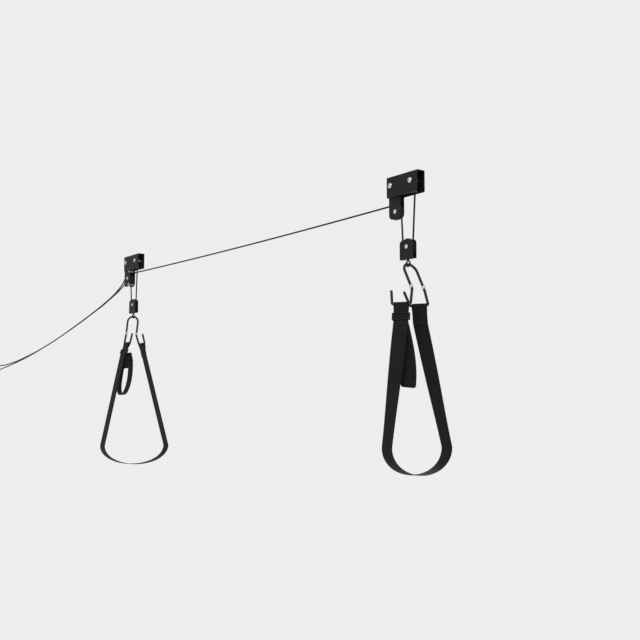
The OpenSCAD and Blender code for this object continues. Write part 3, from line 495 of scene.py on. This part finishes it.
# The rope's route: bracket, sheaves, block and cleat, as in the solids
hoists = {
    "near": {"x": 0.0, "y": 0.0, "blockX": 10.0, "axleDrop": 119.0, "lean": 21.5, "leanWay": 32.5,
             "face": 33.0, "step": 0.0, "frontSlope": 8.5, "hullX": 20.0, "hullY": 24.5,
             "half": 130.0, "chine": 900.0},
    "far": {"x": -2000.0, "y": -6.0, "blockX": 16.0, "axleDrop": 108.0, "lean": 13.0,
            "leanWay": 180.0, "face": 180.0, "step": 3.0, "frontSlope": 21.0, "hullX": -1978.0,
            "hullY": 11.5, "half": 167.0, "chine": 925.0},
}
rope = {"radius": 3.0, "pitchRadius": 24.0, "boltDrop": 30.0, "anchorX": 40.5,
        "anchorRadius": 8.65, "cageX": -45.0, "blockDrop": 245.0, "exit": 135.0,
        "crimpDrop": 24.0, "crimpHeight": 14.0, "stub": 4.0, "stubGap": 0.6, "sag": 7.0,
        "passY": 6.0, "ring": 2.6}


def touchAngle(c1, s1, c2, s2):
    dx, dz = c2[0] - c1[0], c2[1] - c1[1]
    return math.degrees(math.atan2(dz, dx) + math.asin((s1 - s2) / math.hypot(dx, dz)))


def touchPoint(c, s, angle):
    return (c[0] + s * math.sin(math.radians(angle)), c[1] - s * math.cos(math.radians(angle)))


def ropePiece(name, path, node, body, first=None, last=None):
    piece = tubeObject(name, path, rope["radius"], finish["rope"], 18, first, last, dome=0.0)
    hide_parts(node)
    if body:
        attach(piece, body)
    return piece


def lift(point, y):
    return Vector((point[0], y, point[1]))


for name, h in hoists.items():
    blockCentre = (h["x"] + h["blockX"], -rope["blockDrop"])
    anchorCentre = (h["x"] + rope["anchorX"], -rope["boltDrop"])
    headCentre = (h["x"] + rope["cageX"], -h["axleDrop"])
    fixed = touchAngle(anchorCentre, -rope["anchorRadius"], blockCentre, -rope["pitchRadius"])
    hauled = touchAngle(blockCentre, -rope["pitchRadius"], headCentre, rope["pitchRadius"])
    h["hauled"], h["head"] = hauled, headCentre
    fixedTop = lift(touchPoint(anchorCentre, -rope["anchorRadius"], fixed), h["y"])
    fixedFoot = lift(touchPoint(blockCentre, -rope["pitchRadius"], fixed), h["y"])
    hauledFoot = lift(touchPoint(blockCentre, -rope["pitchRadius"], hauled), h["y"])
    hauledTop = lift(touchPoint(headCentre, rope["pitchRadius"], hauled), h["y"])
    for kind, top, foot in (("fixed", fixedTop, fixedFoot), ("hauled", hauledTop, hauledFoot)):
        fall = ropePiece(name + "Fall" + kind.title(), straightPath(top, foot, rope["ring"]),
                         name + "_fall_" + kind, None)
        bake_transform(fall)
    turn = arcPath(blockCentre, rope["pitchRadius"], fixed + 90, hauled - 270, h["y"])
    ropePiece(name + "RopeTurn", turn, name + "_rope_turn", name + "_lift_block",
              -arcRun(fixed + 90), -arcRun(hauled - 270))
    # the loop over the anchor sleeve and the short end in its crimp
    stubDepth = rope["crimpDrop"] + rope["crimpHeight"] + rope["stub"]
    stubX = fixedTop.x + stubDepth / math.tan(math.radians(-fixed))
    stubX -= 2 * rope["radius"] + rope["stubGap"]
    loop = arcPath(anchorCentre, rope["anchorRadius"], fixed + 90, 200, h["y"])
    crimpTop = -rope["boltDrop"] - rope["crimpDrop"]
    tail = smoothPath([loop[-1], (stubX, h["y"], crimpTop + 3), (stubX, h["y"], crimpTop),
                       (stubX, h["y"], crimpTop - rope["crimpHeight"] - rope["stub"])], 2.5,
                      first=arcRun(200))
    ropePiece(name + "RopeAnchor", loop + tail[1:], name + "_rope_anchor", "root",
              arcRun(fixed + 90))

near, far = hoists["near"], hoists["far"]
run = touchAngle(near["head"], rope["pitchRadius"], far["head"], rope["pitchRadius"])
over = arcPath(near["head"], rope["pitchRadius"], near["hauled"] - 90, run - 90, 0)
down = arcPath(far["head"], rope["pitchRadius"], run - 90, rope["exit"], rope["passY"])
span = []
for i in range(1, 400):
    t = i / 400
    span.append(over[-1] * (1 - t) + down[0] * t - Vector((0, 0, 4 * rope["sag"] * t * (1 - t))))
ropePiece("nearRopeLine", over + span + down, "near_rope_line", "root",
          arcRun(near["hauled"] - 90), arcRun(rope["exit"]))
headTurn = arcPath(far["head"], rope["pitchRadius"], far["hauled"] - 90, rope["exit"], far["y"])
ropePiece("farRopeHead", headTurn, "far_rope_head", "root", arcRun(far["hauled"] - 90),
          arcRun(rope["exit"]))

cleat = {"x": -3345.0, "y": -232.0, "z": -505.0, "postGap": 34.0, "post": 11.0,
         "knotAt": 30.0, "knotLength": 18.0, "stub": 14.0}
tails = {
    "near": {"side": 1, "y": 6.0, "route": [
        (-80, 5, -109), (-100, 2, -128), (-130, -4, -149), (-170, -12, -172), (-221, -22, -196),
        (-290, -34, -226), (-375, -49, -258), (-450, -62, -286), (-531, -77, -315),
        (-640, -96, -352), (-747, -115, -386), (-830, -130, -410), (-905, -143, -430),
        (-990, -159, -450), (-1081, -175, -469), (-1170, -191, -482), (-1240, -205, -489)]},
    "far": {"side": -1, "y": -6.0, "route": [
        (-80, -8, -109), (-100, -10, -128), (-130, -14, -150), (-170, -20, -174),
        (-221, -29, -199), (-290, -41, -229), (-375, -56, -262), (-450, -69, -290),
        (-531, -84, -319), (-640, -103, -357), (-747, -122, -391), (-830, -137, -415),
        (-905, -150, -436), (-990, -166, -458), (-1081, -182, -478), (-1170, -198, -496),
        (-1240, -211, -508)]},
}
exitPoint = (far["head"][0] + rope["pitchRadius"] * math.cos(math.radians(rope["exit"])),
             far["head"][1] + rope["pitchRadius"] * math.sin(math.radians(rope["exit"])))
for name, t in tails.items():
    post = Vector((cleat["x"], cleat["y"], cleat["z"] + t["side"] * cleat["postGap"] / 2))
    knot = post + Vector((cleat["knotAt"] + cleat["knotLength"] / 2, 0, 0))
    t["post"], t["knot"] = post, knot
    start = lift(exitPoint, t["y"])
    places = [start, start + arcRun(rope["exit"]) * 3]
    places += [Vector((far["x"] + p[0], p[1], p[2])) for p in t["route"]]
    places += [knot + Vector((cleat["knotLength"], 0, 0)), knot]
    path = smoothPath(places, 3.2, first=arcRun(rope["exit"]), last=Vector((-1, 0, 0)))
    piece = ropePiece(name + "RopeTail", path, name + "_rope_tail", "root",
                      arcRun(rope["exit"]), (-1, 0, 0))
print("ropes made")


def joinedPiece(name, pieces):
    merged = bmesh.new()
    for piece in pieces:
        merged.from_mesh(piece.data)
    mesh = bpy.data.meshes.new(name)
    merged.to_mesh(mesh)
    merged.free()
    mesh.materials.append(pieces[0].data.materials[0])
    for piece in pieces:
        bpy.data.objects.remove(piece)
    joined = bpy.data.objects.new(name, mesh)
    scene.collection.objects.link(joined)
    return joined


def declare(piece, node, body):
    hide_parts(node)
    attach(piece, body)


# Barrel knots: the rope winds three times round itself before the loop
knotWind = {"turns": 3, "radius": 4.5, "start": 2.9, "step": 12, "swell": 0.4, "sides": 16,
            "loop": 8.8, "gap": 0.15, "seat": 0.05}
knots, loops = [], []
for name, t in tails.items():
    side = t["side"]
    wind = []
    count = int(360 * knotWind["turns"] / knotWind["step"])
    usable = cleat["knotLength"] - 2 * knotWind["start"]
    for i in range(count + 1):
        angle = math.radians(knotWind["step"] * i)
        wind.append(t["knot"] + Vector((-knotWind["start"] - usable * i / count,
                                        knotWind["radius"] * math.sin(angle),
                                        -side * knotWind["radius"] * math.cos(angle))))
    core = straightPath(t["knot"] + Vector((1, 0, 0)),
                        t["knot"] - Vector((cleat["knotLength"] - 0.5, 0, 0)), 2)
    knots.append(tubeObject(name + "Wind", wind, rope["radius"], finish["rope"],
                            knotWind["sides"], dome=0.4))
    knots.append(tubeObject(name + "Core", core, rope["radius"] + knotWind["swell"],
                            finish["rope"], knotWind["sides"], dome=0.2))
    middle = t["knot"] - Vector((cleat["knotLength"] / 2, 0, 0))
    end = [middle + Vector((0, 0, side * cleat["stub"] * i / 6)) for i in range(7)]
    knots.append(tubeObject(name + "End", end, rope["radius"], finish["rope"],
                            knotWind["sides"], dome=0.25))
    # loop over the post
    gap = Vector((0, 0, rope["radius"] + knotWind["gap"]))
    foot = t["knot"] - Vector((cleat["knotLength"] + knotWind["seat"], 0, 0))
    lead = Vector((-rope["radius"], 0, 0))
    reach = (foot + lead + gap - t["post"]).length
    radius = knotWind["loop"]
    away = math.degrees(math.acos(radius / reach) + math.asin(gap.z / reach))
    ring = [t["post"] + radius * Vector((math.cos(math.radians(a)), 0, math.sin(math.radians(a))))
            for a in [away + (360 - 2 * away) * i / 48 for i in range(49)]]
    route = ([foot + gap] + straightPath(foot + gap + lead, ring[0], 3) + ring[1:]
             + straightPath(ring[-1], foot - gap + lead, 3)[1:] + [foot - gap])
    loops.append(tubeObject(name + "EndLoop", route, rope["radius"], finish["rope"],
                            knotWind["sides"], first=lead, last=-lead, dome=0.0))
declare(joinedPiece("ropeKnots", knots), "rope_knots", "root")
declare(joinedPiece("ropeLoops", loops), "rope_loops", "root")
print("knots made")

# Hooks: yoke, arms and bars of round rod
hook = {"rod": 4.5, "armGap": 54.0, "yokeLength": 82.0, "knee": 9.0, "drop": 303.5,
        "bar": 62.0, "barDrop": 437.0, "prong": 48.0, "prongLean": 8.0, "bend": 6.0,
        "front": -7.0, "back": 17.0, "clear": 0.3, "sides": 28}


def leanWay(h):
    lean, way = math.radians(h["lean"]), math.radians(h["leanWay"])
    return Vector((math.sin(lean) * math.cos(way), math.sin(lean) * math.sin(way), -math.cos(lean)))


def armEnd(h, side):
    top = Vector((h["x"] + h["blockX"], h["y"], -hook["drop"]))
    return top + Vector((0, side * hook["armGap"] / 2, 0)) + hook["yokeLength"] * leanWay(h)


def spread(side):
    return hook["front"] if side < 0 else hook["back"]


def shankFoot(h, side):
    k = armEnd(h, side) + hook["knee"] * leanWay(h)
    return Vector((k.x, k.y + spread(side), -hook["barDrop"])) + h["step"] * towards(h["face"])


def barMiddle(h, side):
    return shankFoot(h, side) - hook["bar"] / 2 * towards(h["face"])


for name, h in hoists.items():
    body = name + "_hanger"
    down = leanWay(h)
    half = hook["armGap"] / 2
    top = Vector((h["x"] + h["blockX"], h["y"], -hook["drop"]))
    arch = []
    for i in range(46):
        a = math.radians(4 * i)
        arch.append(top + Vector((0, -half * math.cos(a), 0)) + half * (1 - math.sin(a)) * down)
    path = straightPath(armEnd(h, -1), arch[0], 6) + arch[1:] + straightPath(
        arch[-1], armEnd(h, 1), 6)[1:]
    piece = tubeObject(name + "Yoke", path, hook["rod"], finish["vinyl"], hook["sides"],
                       first=-down, last=down, dome=0.0)
    declare(piece, name + "_yoke", body)
    for side, word in ((-1, "front"), (1, "back")):
        start = armEnd(h, side) + hook["clear"] * down
        k = armEnd(h, side) + hook["knee"] * down
        foot = shankFoot(h, side)
        free = foot - hook["bar"] * towards(h["face"])
        tip = free - hook["prongLean"] * towards(h["face"]) + Vector(
            (0, -spread(side), hook["prong"]))
        route = [start] + bendPath(start, k, foot, hook["bend"], 10) + bendPath(
            k, foot, free, hook["bend"], 16)
        route += bendPath(foot, free, tip, hook["bend"], 16)
        up = (tip - route[-1]).normalized()
        sizes = [hook["rod"]] * len(route)
        for i in range(9):
            a = math.radians(i * 11.0)
            route.append(tip - hook["rod"] * up + hook["rod"] * math.sin(a) * up)
            sizes.append(hook["rod"] * math.cos(a))
        piece = tubeObject(name + word.title() + "Hook", route, sizes, finish["vinyl"],
                           hook["sides"], first=down, last=up, dome=0.05)
        declare(piece, name + "_" + word + "_hook", body)
print("hooks made")

# Slings: one length of webbing per hoist
strap = {"width": 50.0, "thick": 2.2, "half": 1.4, "loop": 5.9, "leg": 62.0, "hull": 88.0,
         "power": 2.05, "backSlope": 13.0, "ease": 8, "ring": 2.8, "round": 9.0}
nearTail = {"foot": (29.0, -22.0, -708.0), "turn": 20.0, "belly": 12.5, "ease": 0.8,
            "shares": (1, 0.925, 0.85, 0.775, 0.7, 0.625, 0.55, 0.475, 0.4, 0.325, 0.25, 0.185,
                       0.12, 0.08, 0.04)}
# the loose end is tucked over the fold's top
farTail = [(-5, -120), (-2, -95), (2, -70), (5, -53), (6.4, -47), (9, -44.6), (11.6, -47),
           (13, -53), (15, -62), (19, -80), (20, -120), (17, -160), (9, -200), (-4, -232),
           (-15, -244), (-26, -246), (-34, -236), (-37, -218), (-36, -190), (-31, -155),
           (-25, -120), (-17, -88)]


def layer(side, slope, s, q, across=0.0):
    slope = math.radians(slope)
    return Vector((across, side * (q * math.cos(slope) + s * math.sin(slope)),
                   q * math.sin(slope) - s * math.cos(slope)))


def placed(middle, face, p):
    side = Vector((-math.sin(math.radians(face)), math.cos(math.radians(face)), 0))
    return middle + p.x * towards(face) + p.y * side + Vector((0, 0, p.z))


def barLoop(middle, face, slope, side):
    feet = (62, 54, 46, 38, 31)
    out = [placed(middle, face, layer(side, slope, s, -strap["half"])) for s in feet]
    for i in range(26):
        a = math.radians(190 - 8 * i)
        out.append(placed(middle, face, layer(side, slope, -strap["loop"] * math.sin(a),
                                              strap["loop"] * math.cos(a))))
    out += [placed(middle, face, layer(side, slope, s, strap["half"])) for s in reversed(feet)]
    return out


def full(v):
    return math.copysign(abs(v) ** (2 / strap["power"]), v)


def smoothBand(points, turns, step):
    chain = [points[0]] + points + [points[-1]]
    out, faces = [], []
    for i in range(len(points) - 1):
        piece = curvePiece(*chain[i:i + 4], step)
        out += piece
        faces += [turns[i] + (turns[i + 1] - turns[i]) * k / len(piece)
                  for k in range(len(piece))]
    return out + [points[-1]], faces + [turns[-1]]


def between(a, b):
    return [a + (b - a) * i / (strap["ease"] + 1) for i in range(1, strap["ease"] + 1)]


def endTaper(length):
    left = max(0.0, 1 - length / strap["round"])
    return 1 - 0.22 * left ** 2.4


for name, h in hoists.items():
    face = h["face"]
    straight = face - 180 if face > 90 else face
    turned = -1 if face > 90 else 1
    frontBar, backBar = barMiddle(h, -1), barMiddle(h, 1)
    front = barLoop(frontBar, face, h["frontSlope"], -turned)
    back = barLoop(backBar, face, strap["backSlope"], turned)
    under = [Vector((h["hullX"], h["hullY"] - h["half"] * full(math.cos(math.radians(4 * i))),
                     -h["chine"] - strap["hull"] * full(math.sin(math.radians(4 * i)))))
             for i in range(46)]
    if name == "near":
        top = placed(frontBar, face, layer(-1, h["frontSlope"], strap["leg"], -strap["half"]))
        foot = Vector(nearTail["foot"])
        loose, looseTurns = [], []
        for s in nearTail["shares"]:
            e = s * s * (3 - 2 * s)
            belly = nearTail["belly"] * math.sin(math.pi * s ** nearTail["ease"])
            loose.append(top + Vector(((foot.x - top.x) * e, (foot.y - top.y) * e + belly,
                                       (foot.z - top.z) * s)))
            looseTurns.append(face + nearTail["turn"] * e)
    else:
        loose = [frontBar + Vector((0, p[0], p[1])) for p in farTail]
        looseTurns = [0.0] * len(loose)
    eased = []
    for i in range(1, strap["ease"] + 1):
        t = i / (strap["ease"] + 1)
        eased.append(straight * (1 - t * t * (3 - 2 * t)))
    points = loose + front + between(front[-1], under[0]) + under + between(under[-1], back[-1])
    points += list(reversed(back))
    turns = looseTurns + [straight] * len(front) + eased + [0.0] * len(under)
    turns += list(reversed(eased)) + [straight] * len(back)
    path, faces = smoothBand(points, turns, strap["ring"])
    piece, h["frames"], h["marks"] = ribbonObject(name + "Strap", path, faces, strap["width"],
                                                  strap["thick"], finish["webbing"], endTaper)
    declare(piece, name + "_strap", name + "_hanger")
    h["backBar"], h["straight"], h["turned"] = backBar, straight, turned
print("slings made")

# Stitches: one capsule of thread on every seed point, made by a node group
stitch = {"length": 3.1, "gap": 4.3, "radius": 0.5, "boxTop": 33.5, "boxFoot": 58.5,
          "boxHalf": 20.5, "sides": 8, "rings": 6}


def openGroup(name, words):
    tree = bpy.data.node_groups.new(name, "GeometryNodeTree")
    face = tree.interface
    face.new_socket("Geometry", in_out="INPUT", socket_type="NodeSocketGeometry")
    for word in words:
        face.new_socket(word, in_out="INPUT", socket_type="NodeSocketFloat")
    face.new_socket("Material", in_out="INPUT", socket_type="NodeSocketMaterial")
    face.new_socket("Geometry", in_out="OUTPUT", socket_type="NodeSocketGeometry")
    nodes, links = tree.nodes, tree.links
    entry = nodes.new("NodeGroupInput")
    spread = nodes.new("GeometryNodeInstanceOnPoints")
    links.new(entry.outputs["Geometry"], spread.inputs["Points"])
    real = nodes.new("GeometryNodeRealizeInstances")
    smooth = nodes.new("GeometryNodeSetShadeSmooth")
    paint = nodes.new("GeometryNodeSetMaterial")
    leave = nodes.new("NodeGroupOutput")
    links.new(spread.outputs["Instances"], real.inputs["Geometry"])
    links.new(real.outputs["Geometry"], smooth.inputs["Geometry"])
    links.new(smooth.outputs["Geometry"], paint.inputs["Geometry"])
    links.new(entry.outputs["Material"], paint.inputs["Material"])
    links.new(paint.outputs["Geometry"], leave.inputs["Geometry"])
    return tree, nodes, links, entry, spread


def stitchGroup():
    tree, nodes, links, entry, spread = openGroup("stitchRow", ("stitchLength", "threadRadius"))
    ball = nodes.new("GeometryNodeMeshUVSphere")
    ball.inputs["Segments"].default_value = stitch["sides"]
    ball.inputs["Rings"].default_value = stitch["rings"]
    ball.inputs["Radius"].default_value = 1.0
    aim = nodes.new("GeometryNodeInputNamedAttribute")
    aim.data_type = "FLOAT_VECTOR"
    aim.inputs["Name"].default_value = "aim"
    turn = nodes.new("FunctionNodeAlignRotationToVector")
    turn.axis = "Z"
    half = nodes.new("ShaderNodeMath")
    half.operation = "MULTIPLY"
    half.inputs[1].default_value = 0.5
    size = nodes.new("ShaderNodeCombineXYZ")
    links.new(aim.outputs[0], turn.inputs["Vector"])
    links.new(entry.outputs["stitchLength"], half.inputs[0])
    links.new(entry.outputs["threadRadius"], size.inputs["X"])
    links.new(entry.outputs["threadRadius"], size.inputs["Y"])
    links.new(half.outputs[0], size.inputs["Z"])
    links.new(ball.outputs["Mesh"], spread.inputs["Instance"])
    links.new(turn.outputs[0], spread.inputs["Rotation"])
    links.new(size.outputs[0], spread.inputs["Scale"])
    return tree


stitchTree = stitchGroup()


def grownMesh(name, seedMesh, tree, material, values):
    seedObject = bpy.data.objects.new(name + "Seeds", seedMesh)
    scene.collection.objects.link(seedObject)
    maker = seedObject.modifiers.new("maker", "NODES")
    maker.node_group = tree
    for item in tree.interface.items_tree:
        if item.item_type == "SOCKET" and item.in_out == "INPUT":
            if item.name in values:
                maker[item.identifier] = values[item.name]
            elif item.name == "Material":
                maker[item.identifier] = material
    bpy.context.view_layer.update()
    shape = seedObject.evaluated_get(bpy.context.evaluated_depsgraph_get())
    solid = bpy.data.meshes.new_from_object(shape)
    solid.name = name
    if not solid.materials:
        solid.materials.append(material)
    bpy.data.objects.remove(seedObject)
    piece = bpy.data.objects.new(name, solid)
    scene.collection.objects.link(piece)
    return piece


def stitchObject(name, seeds, material):
    mesh = bpy.data.meshes.new(name + "Seeds")
    mesh.from_pydata([p * mm for p, run in seeds], [], [])
    aims = mesh.attributes.new("aim", "FLOAT_VECTOR", "POINT")
    for item, (p, run) in zip(aims.data, seeds):
        item.vector = run
    return grownMesh(name, mesh, stitchTree, material, {
        "stitchLength": stitch["length"] * mm, "threadRadius": stitch["radius"] * mm})


def seedLine(a, b):
    count = max(2, round((b - a).length / stitch["gap"]))
    run = (b - a).normalized()
    return [(a + (b - a) * (i + 0.5) / count, run) for i in range(count)]


for name, h in hoists.items():
    seeds = []
    # box with a cross on both faces of the sewn back loop
    for q in (-1, 1):
        depth = q * (strap["half"] + strap["thick"] / 2 - 0.1)

        def spot(s, across):
            return placed(h["backBar"], h["face"],
                          layer(h["turned"], strap["backSlope"], s, depth, across))
        w = stitch["boxHalf"]
        corners = [spot(stitch["boxTop"], -w), spot(stitch["boxTop"], w),
                   spot(stitch["boxFoot"], w), spot(stitch["boxFoot"], -w)]
        for a, b in ((0, 1), (1, 2), (2, 3), (3, 0), (0, 2), (1, 3)):
            seeds += seedLine(corners[a], corners[b])
    # two rows across the hem of the loose end
    for reachIn in (12.0, 16.0):
        index = min(range(len(h["marks"])), key=lambda i: abs(h["marks"][i] - reachIn))
        place, across, normal = h["frames"][index]
        for q in (-1, 1):
            raised = normal * q * (strap["thick"] / 2 - 0.1)
            seeds += seedLine(place - across * 21 + raised, place + across * 21 + raised)
    piece = stitchObject(name + "Stitches", seeds, finish["thread"])
    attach(piece, name + "_hanger")
print("stitches made")

# Threads on the bolts' free ends: one spiral ridge on every seed point
thread = {"radius": 3.9, "ridge": 0.32, "start": 24.7, "length": 3.5, "turns": 3.0,
          "depth": -30.0, "places": (-58.7, 40.5), "round": 28, "sides": 6}


def threadGroup():
    tree, nodes, links, entry, spread = openGroup(
        "boltThread", ("threadRadius", "threadLength", "threadTurns", "ridgeRadius"))
    coil = nodes.new("GeometryNodeCurveSpiral")
    coil.inputs["Resolution"].default_value = thread["round"]
    links.new(entry.outputs["threadTurns"], coil.inputs["Rotations"])
    links.new(entry.outputs["threadRadius"], coil.inputs["Start Radius"])
    links.new(entry.outputs["threadRadius"], coil.inputs["End Radius"])
    links.new(entry.outputs["threadLength"], coil.inputs["Height"])
    rim = nodes.new("GeometryNodeCurvePrimitiveCircle")
    rim.inputs["Resolution"].default_value = thread["sides"]
    links.new(entry.outputs["ridgeRadius"], rim.inputs["Radius"])
    skin = nodes.new("GeometryNodeCurveToMesh")
    skin.inputs["Fill Caps"].default_value = True
    links.new(coil.outputs["Curve"], skin.inputs["Curve"])
    links.new(rim.outputs["Curve"], skin.inputs["Profile Curve"])
    spread.inputs["Rotation"].default_value = (-math.pi / 2, 0, 0)
    links.new(skin.outputs["Mesh"], spread.inputs["Instance"])
    return tree


threadTree = threadGroup()
for name, h in hoists.items():
    mesh = bpy.data.meshes.new(name + "ThreadSeeds")
    mesh.from_pydata([Vector((h["x"] + x, thread["start"], thread["depth"])) * mm
                      for x in thread["places"]], [], [])
    solid = grownMesh(name + "Threads", mesh, threadTree, finish["zinc"], {
        "threadRadius": thread["radius"] * mm, "threadLength": thread["length"] * mm,
        "threadTurns": thread["turns"], "ridgeRadius": thread["ridge"] * mm})
    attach(solid, "root")
print("threads made")

# Rigid pieces: a copy of each solid with broken edges and its own finish
rigid = {
    "channel": ("powder", "black_steel", None, 0.45), "cage": ("powder", "black_steel", None, 0.4),
    "bolts": ("zinc", "zinc", None, 0.35), "nuts": ("zinc", "zinc", None, 0.35),
    "sleeves": ("zinc", "zinc", None, 0.3), "axle": ("zinc", "zinc", None, 0.3),
    "sheave": ("nylon", "nylon", "top_wheel", 0.35), "washers": ("nylon", "nylon", None, 0.15),
    "rope_crimp": ("zinc", "zinc", None, 0.8),
    "block": ("powder", "black_steel", "lift_block", 0.4),
    "block_axle": ("zinc", "zinc", "lift_block", 0.3),
    "block_sheave": ("nylon", "nylon", "block_wheel", 0.35),
    "block_washers": ("nylon", "nylon", "lift_block", 0.15),
    "eye": ("powder", "black_steel", "swivel", 0.3),
    "collars": ("zinc", "zinc", "hanger", 0.4), "slide": ("powder", "black_steel", "hanger", 0.4),
}
shared = {
    "pass_sheave": ("nylon", "nylon", "pass_wheel", 0.35),
    "far_keeper_pins": ("zinc", "zinc", "root", 0.3),
    "cleat": ("nylon", "nylon", "root", 0.8), "cleat_screws": ("zinc", "zinc", "root", 0.2),
}
jobs = dict(shared)
for name in hoists:
    for word, (look, slot, body, width) in rigid.items():
        jobs[name + "_" + word] = (look, slot, name + "_" + body if body else "root", width)


edgeBreak = {"weld": 0.000002, "flat": 0.6, "sharp": 32, "soft": 38, "weight": 90}


def bevelCopy(node, look, width):
    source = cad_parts[node]
    shape = bmesh.new()
    shape.from_mesh(source.data)
    shape.transform(source.matrix_world)
    bmesh.ops.remove_doubles(shape, verts=shape.verts, dist=edgeBreak["weld"])
    bmesh.ops.dissolve_limit(shape, angle_limit=math.radians(edgeBreak["flat"]),
                             verts=shape.verts, edges=shape.edges)
    bmesh.ops.recalc_face_normals(shape, faces=shape.faces)
    sharp = [e for e in shape.edges if len(e.link_faces) == 2
             and e.calc_face_angle(0) > math.radians(edgeBreak["sharp"])]
    wear = shape.loops.layers.float.new("edgeWear")
    broken = bmesh.ops.bevel(shape, geom=sharp, offset=width * mm, segments=2, profile=0.5,
                             affect="EDGES", clamp_overlap=True)
    for face in broken["faces"]:
        for corner in face.loops:
            corner[wear] = 1.0
    for f in shape.faces:
        f.smooth = True
    for e in shape.edges:
        e.smooth = (len(e.link_faces) == 2
                    and e.calc_face_angle(0) < math.radians(edgeBreak["soft"]))
    bmesh.ops.triangulate(shape, faces=[f for f in shape.faces if len(f.verts) > 4])
    mesh = bpy.data.meshes.new(node + "Look")
    shape.to_mesh(mesh)
    shape.free()
    mesh.materials.clear()
    mesh.materials.append(finish[look])
    draft = bpy.data.objects.new(node + "Draft", mesh)
    scene.collection.objects.link(draft)
    # flat faces keep their own normals beside the broken edges
    even = draft.modifiers.new("evenNormals", "WEIGHTED_NORMAL")
    even.keep_sharp = True
    even.weight = edgeBreak["weight"]
    bpy.context.view_layer.update()
    shape = draft.evaluated_get(bpy.context.evaluated_depsgraph_get())
    solid = bpy.data.meshes.new_from_object(shape)
    solid.name = node + "Look"
    bpy.data.objects.remove(draft)
    piece = bpy.data.objects.new(node + "Look", solid)
    scene.collection.objects.link(piece)
    return piece


for node, (look, slot, body, width) in jobs.items():
    declare(bevelCopy(node, look, width), node, body)
print("rigid pieces made", len(jobs))

# Floor, light and background
stage = {"floor": -3.15, "reach": 400, "floorColour": (0.86, 0.86, 0.85, 1),
         "roomColour": (0.78, 0.79, 0.8, 1), "roomStrength": 0.75,
         "backdrop": (0.85, 0.85, 0.85, 1)}
floorMat, floorShader = newMaterial("paleFloor")[::3]
floorShader.inputs["Base Color"].default_value = stage["floorColour"]
floorShader.inputs["Roughness"].default_value = 1.0
floorShader.inputs["Specular IOR Level"].default_value = 0.0
floorMesh = bpy.data.meshes.new("floor")
edge = stage["reach"]
floorMesh.from_pydata([(x, y, stage["floor"]) for x, y in
                       ((-edge, -edge), (edge, -edge), (edge, edge), (-edge, edge))],
                      [], [(0, 1, 2, 3)])
floorMesh.materials.append(floorMat)
floorObject = bpy.data.objects.new("floor", floorMesh)
scene.collection.objects.link(floorObject)

world = bpy.data.worlds.new("paleRoom")
scene.world = world
world.use_nodes = True
worldNodes, worldLinks = world.node_tree.nodes, world.node_tree.links
plain = worldNodes["Background"]
plain.inputs["Color"].default_value = stage["roomColour"]
plain.inputs["Strength"].default_value = stage["roomStrength"]
seen = worldNodes.new("ShaderNodeBackground")
seen.inputs["Color"].default_value = stage["backdrop"]
seen.inputs["Strength"].default_value = 1.0
rays = worldNodes.new("ShaderNodeLightPath")
pick = worldNodes.new("ShaderNodeMixShader")
worldLinks.new(rays.outputs["Is Camera Ray"], pick.inputs[0])
worldLinks.new(plain.outputs[0], pick.inputs[1])
worldLinks.new(seen.outputs[0], pick.inputs[2])
worldLinks.new(pick.outputs[0], worldNodes["World Output"].inputs["Surface"])

lights = {
    "keySun": ((2.2, -3.0, 4.2), 1.25, 16),
    "rimSun": ((-3.0, 3.2, 3.0), 0.58, 24),
}
for name, (place, power, spreadAngle) in lights.items():
    data = bpy.data.lights.new(name, "SUN")
    data.energy = power
    data.angle = math.radians(spreadAngle)
    lamp = bpy.data.objects.new(name, data)
    scene.collection.objects.link(lamp)
    lamp.rotation_euler = Vector(place).to_track_quat("Z", "Y").to_euler()
scene.view_settings.view_transform = "Standard"
print("stage set")
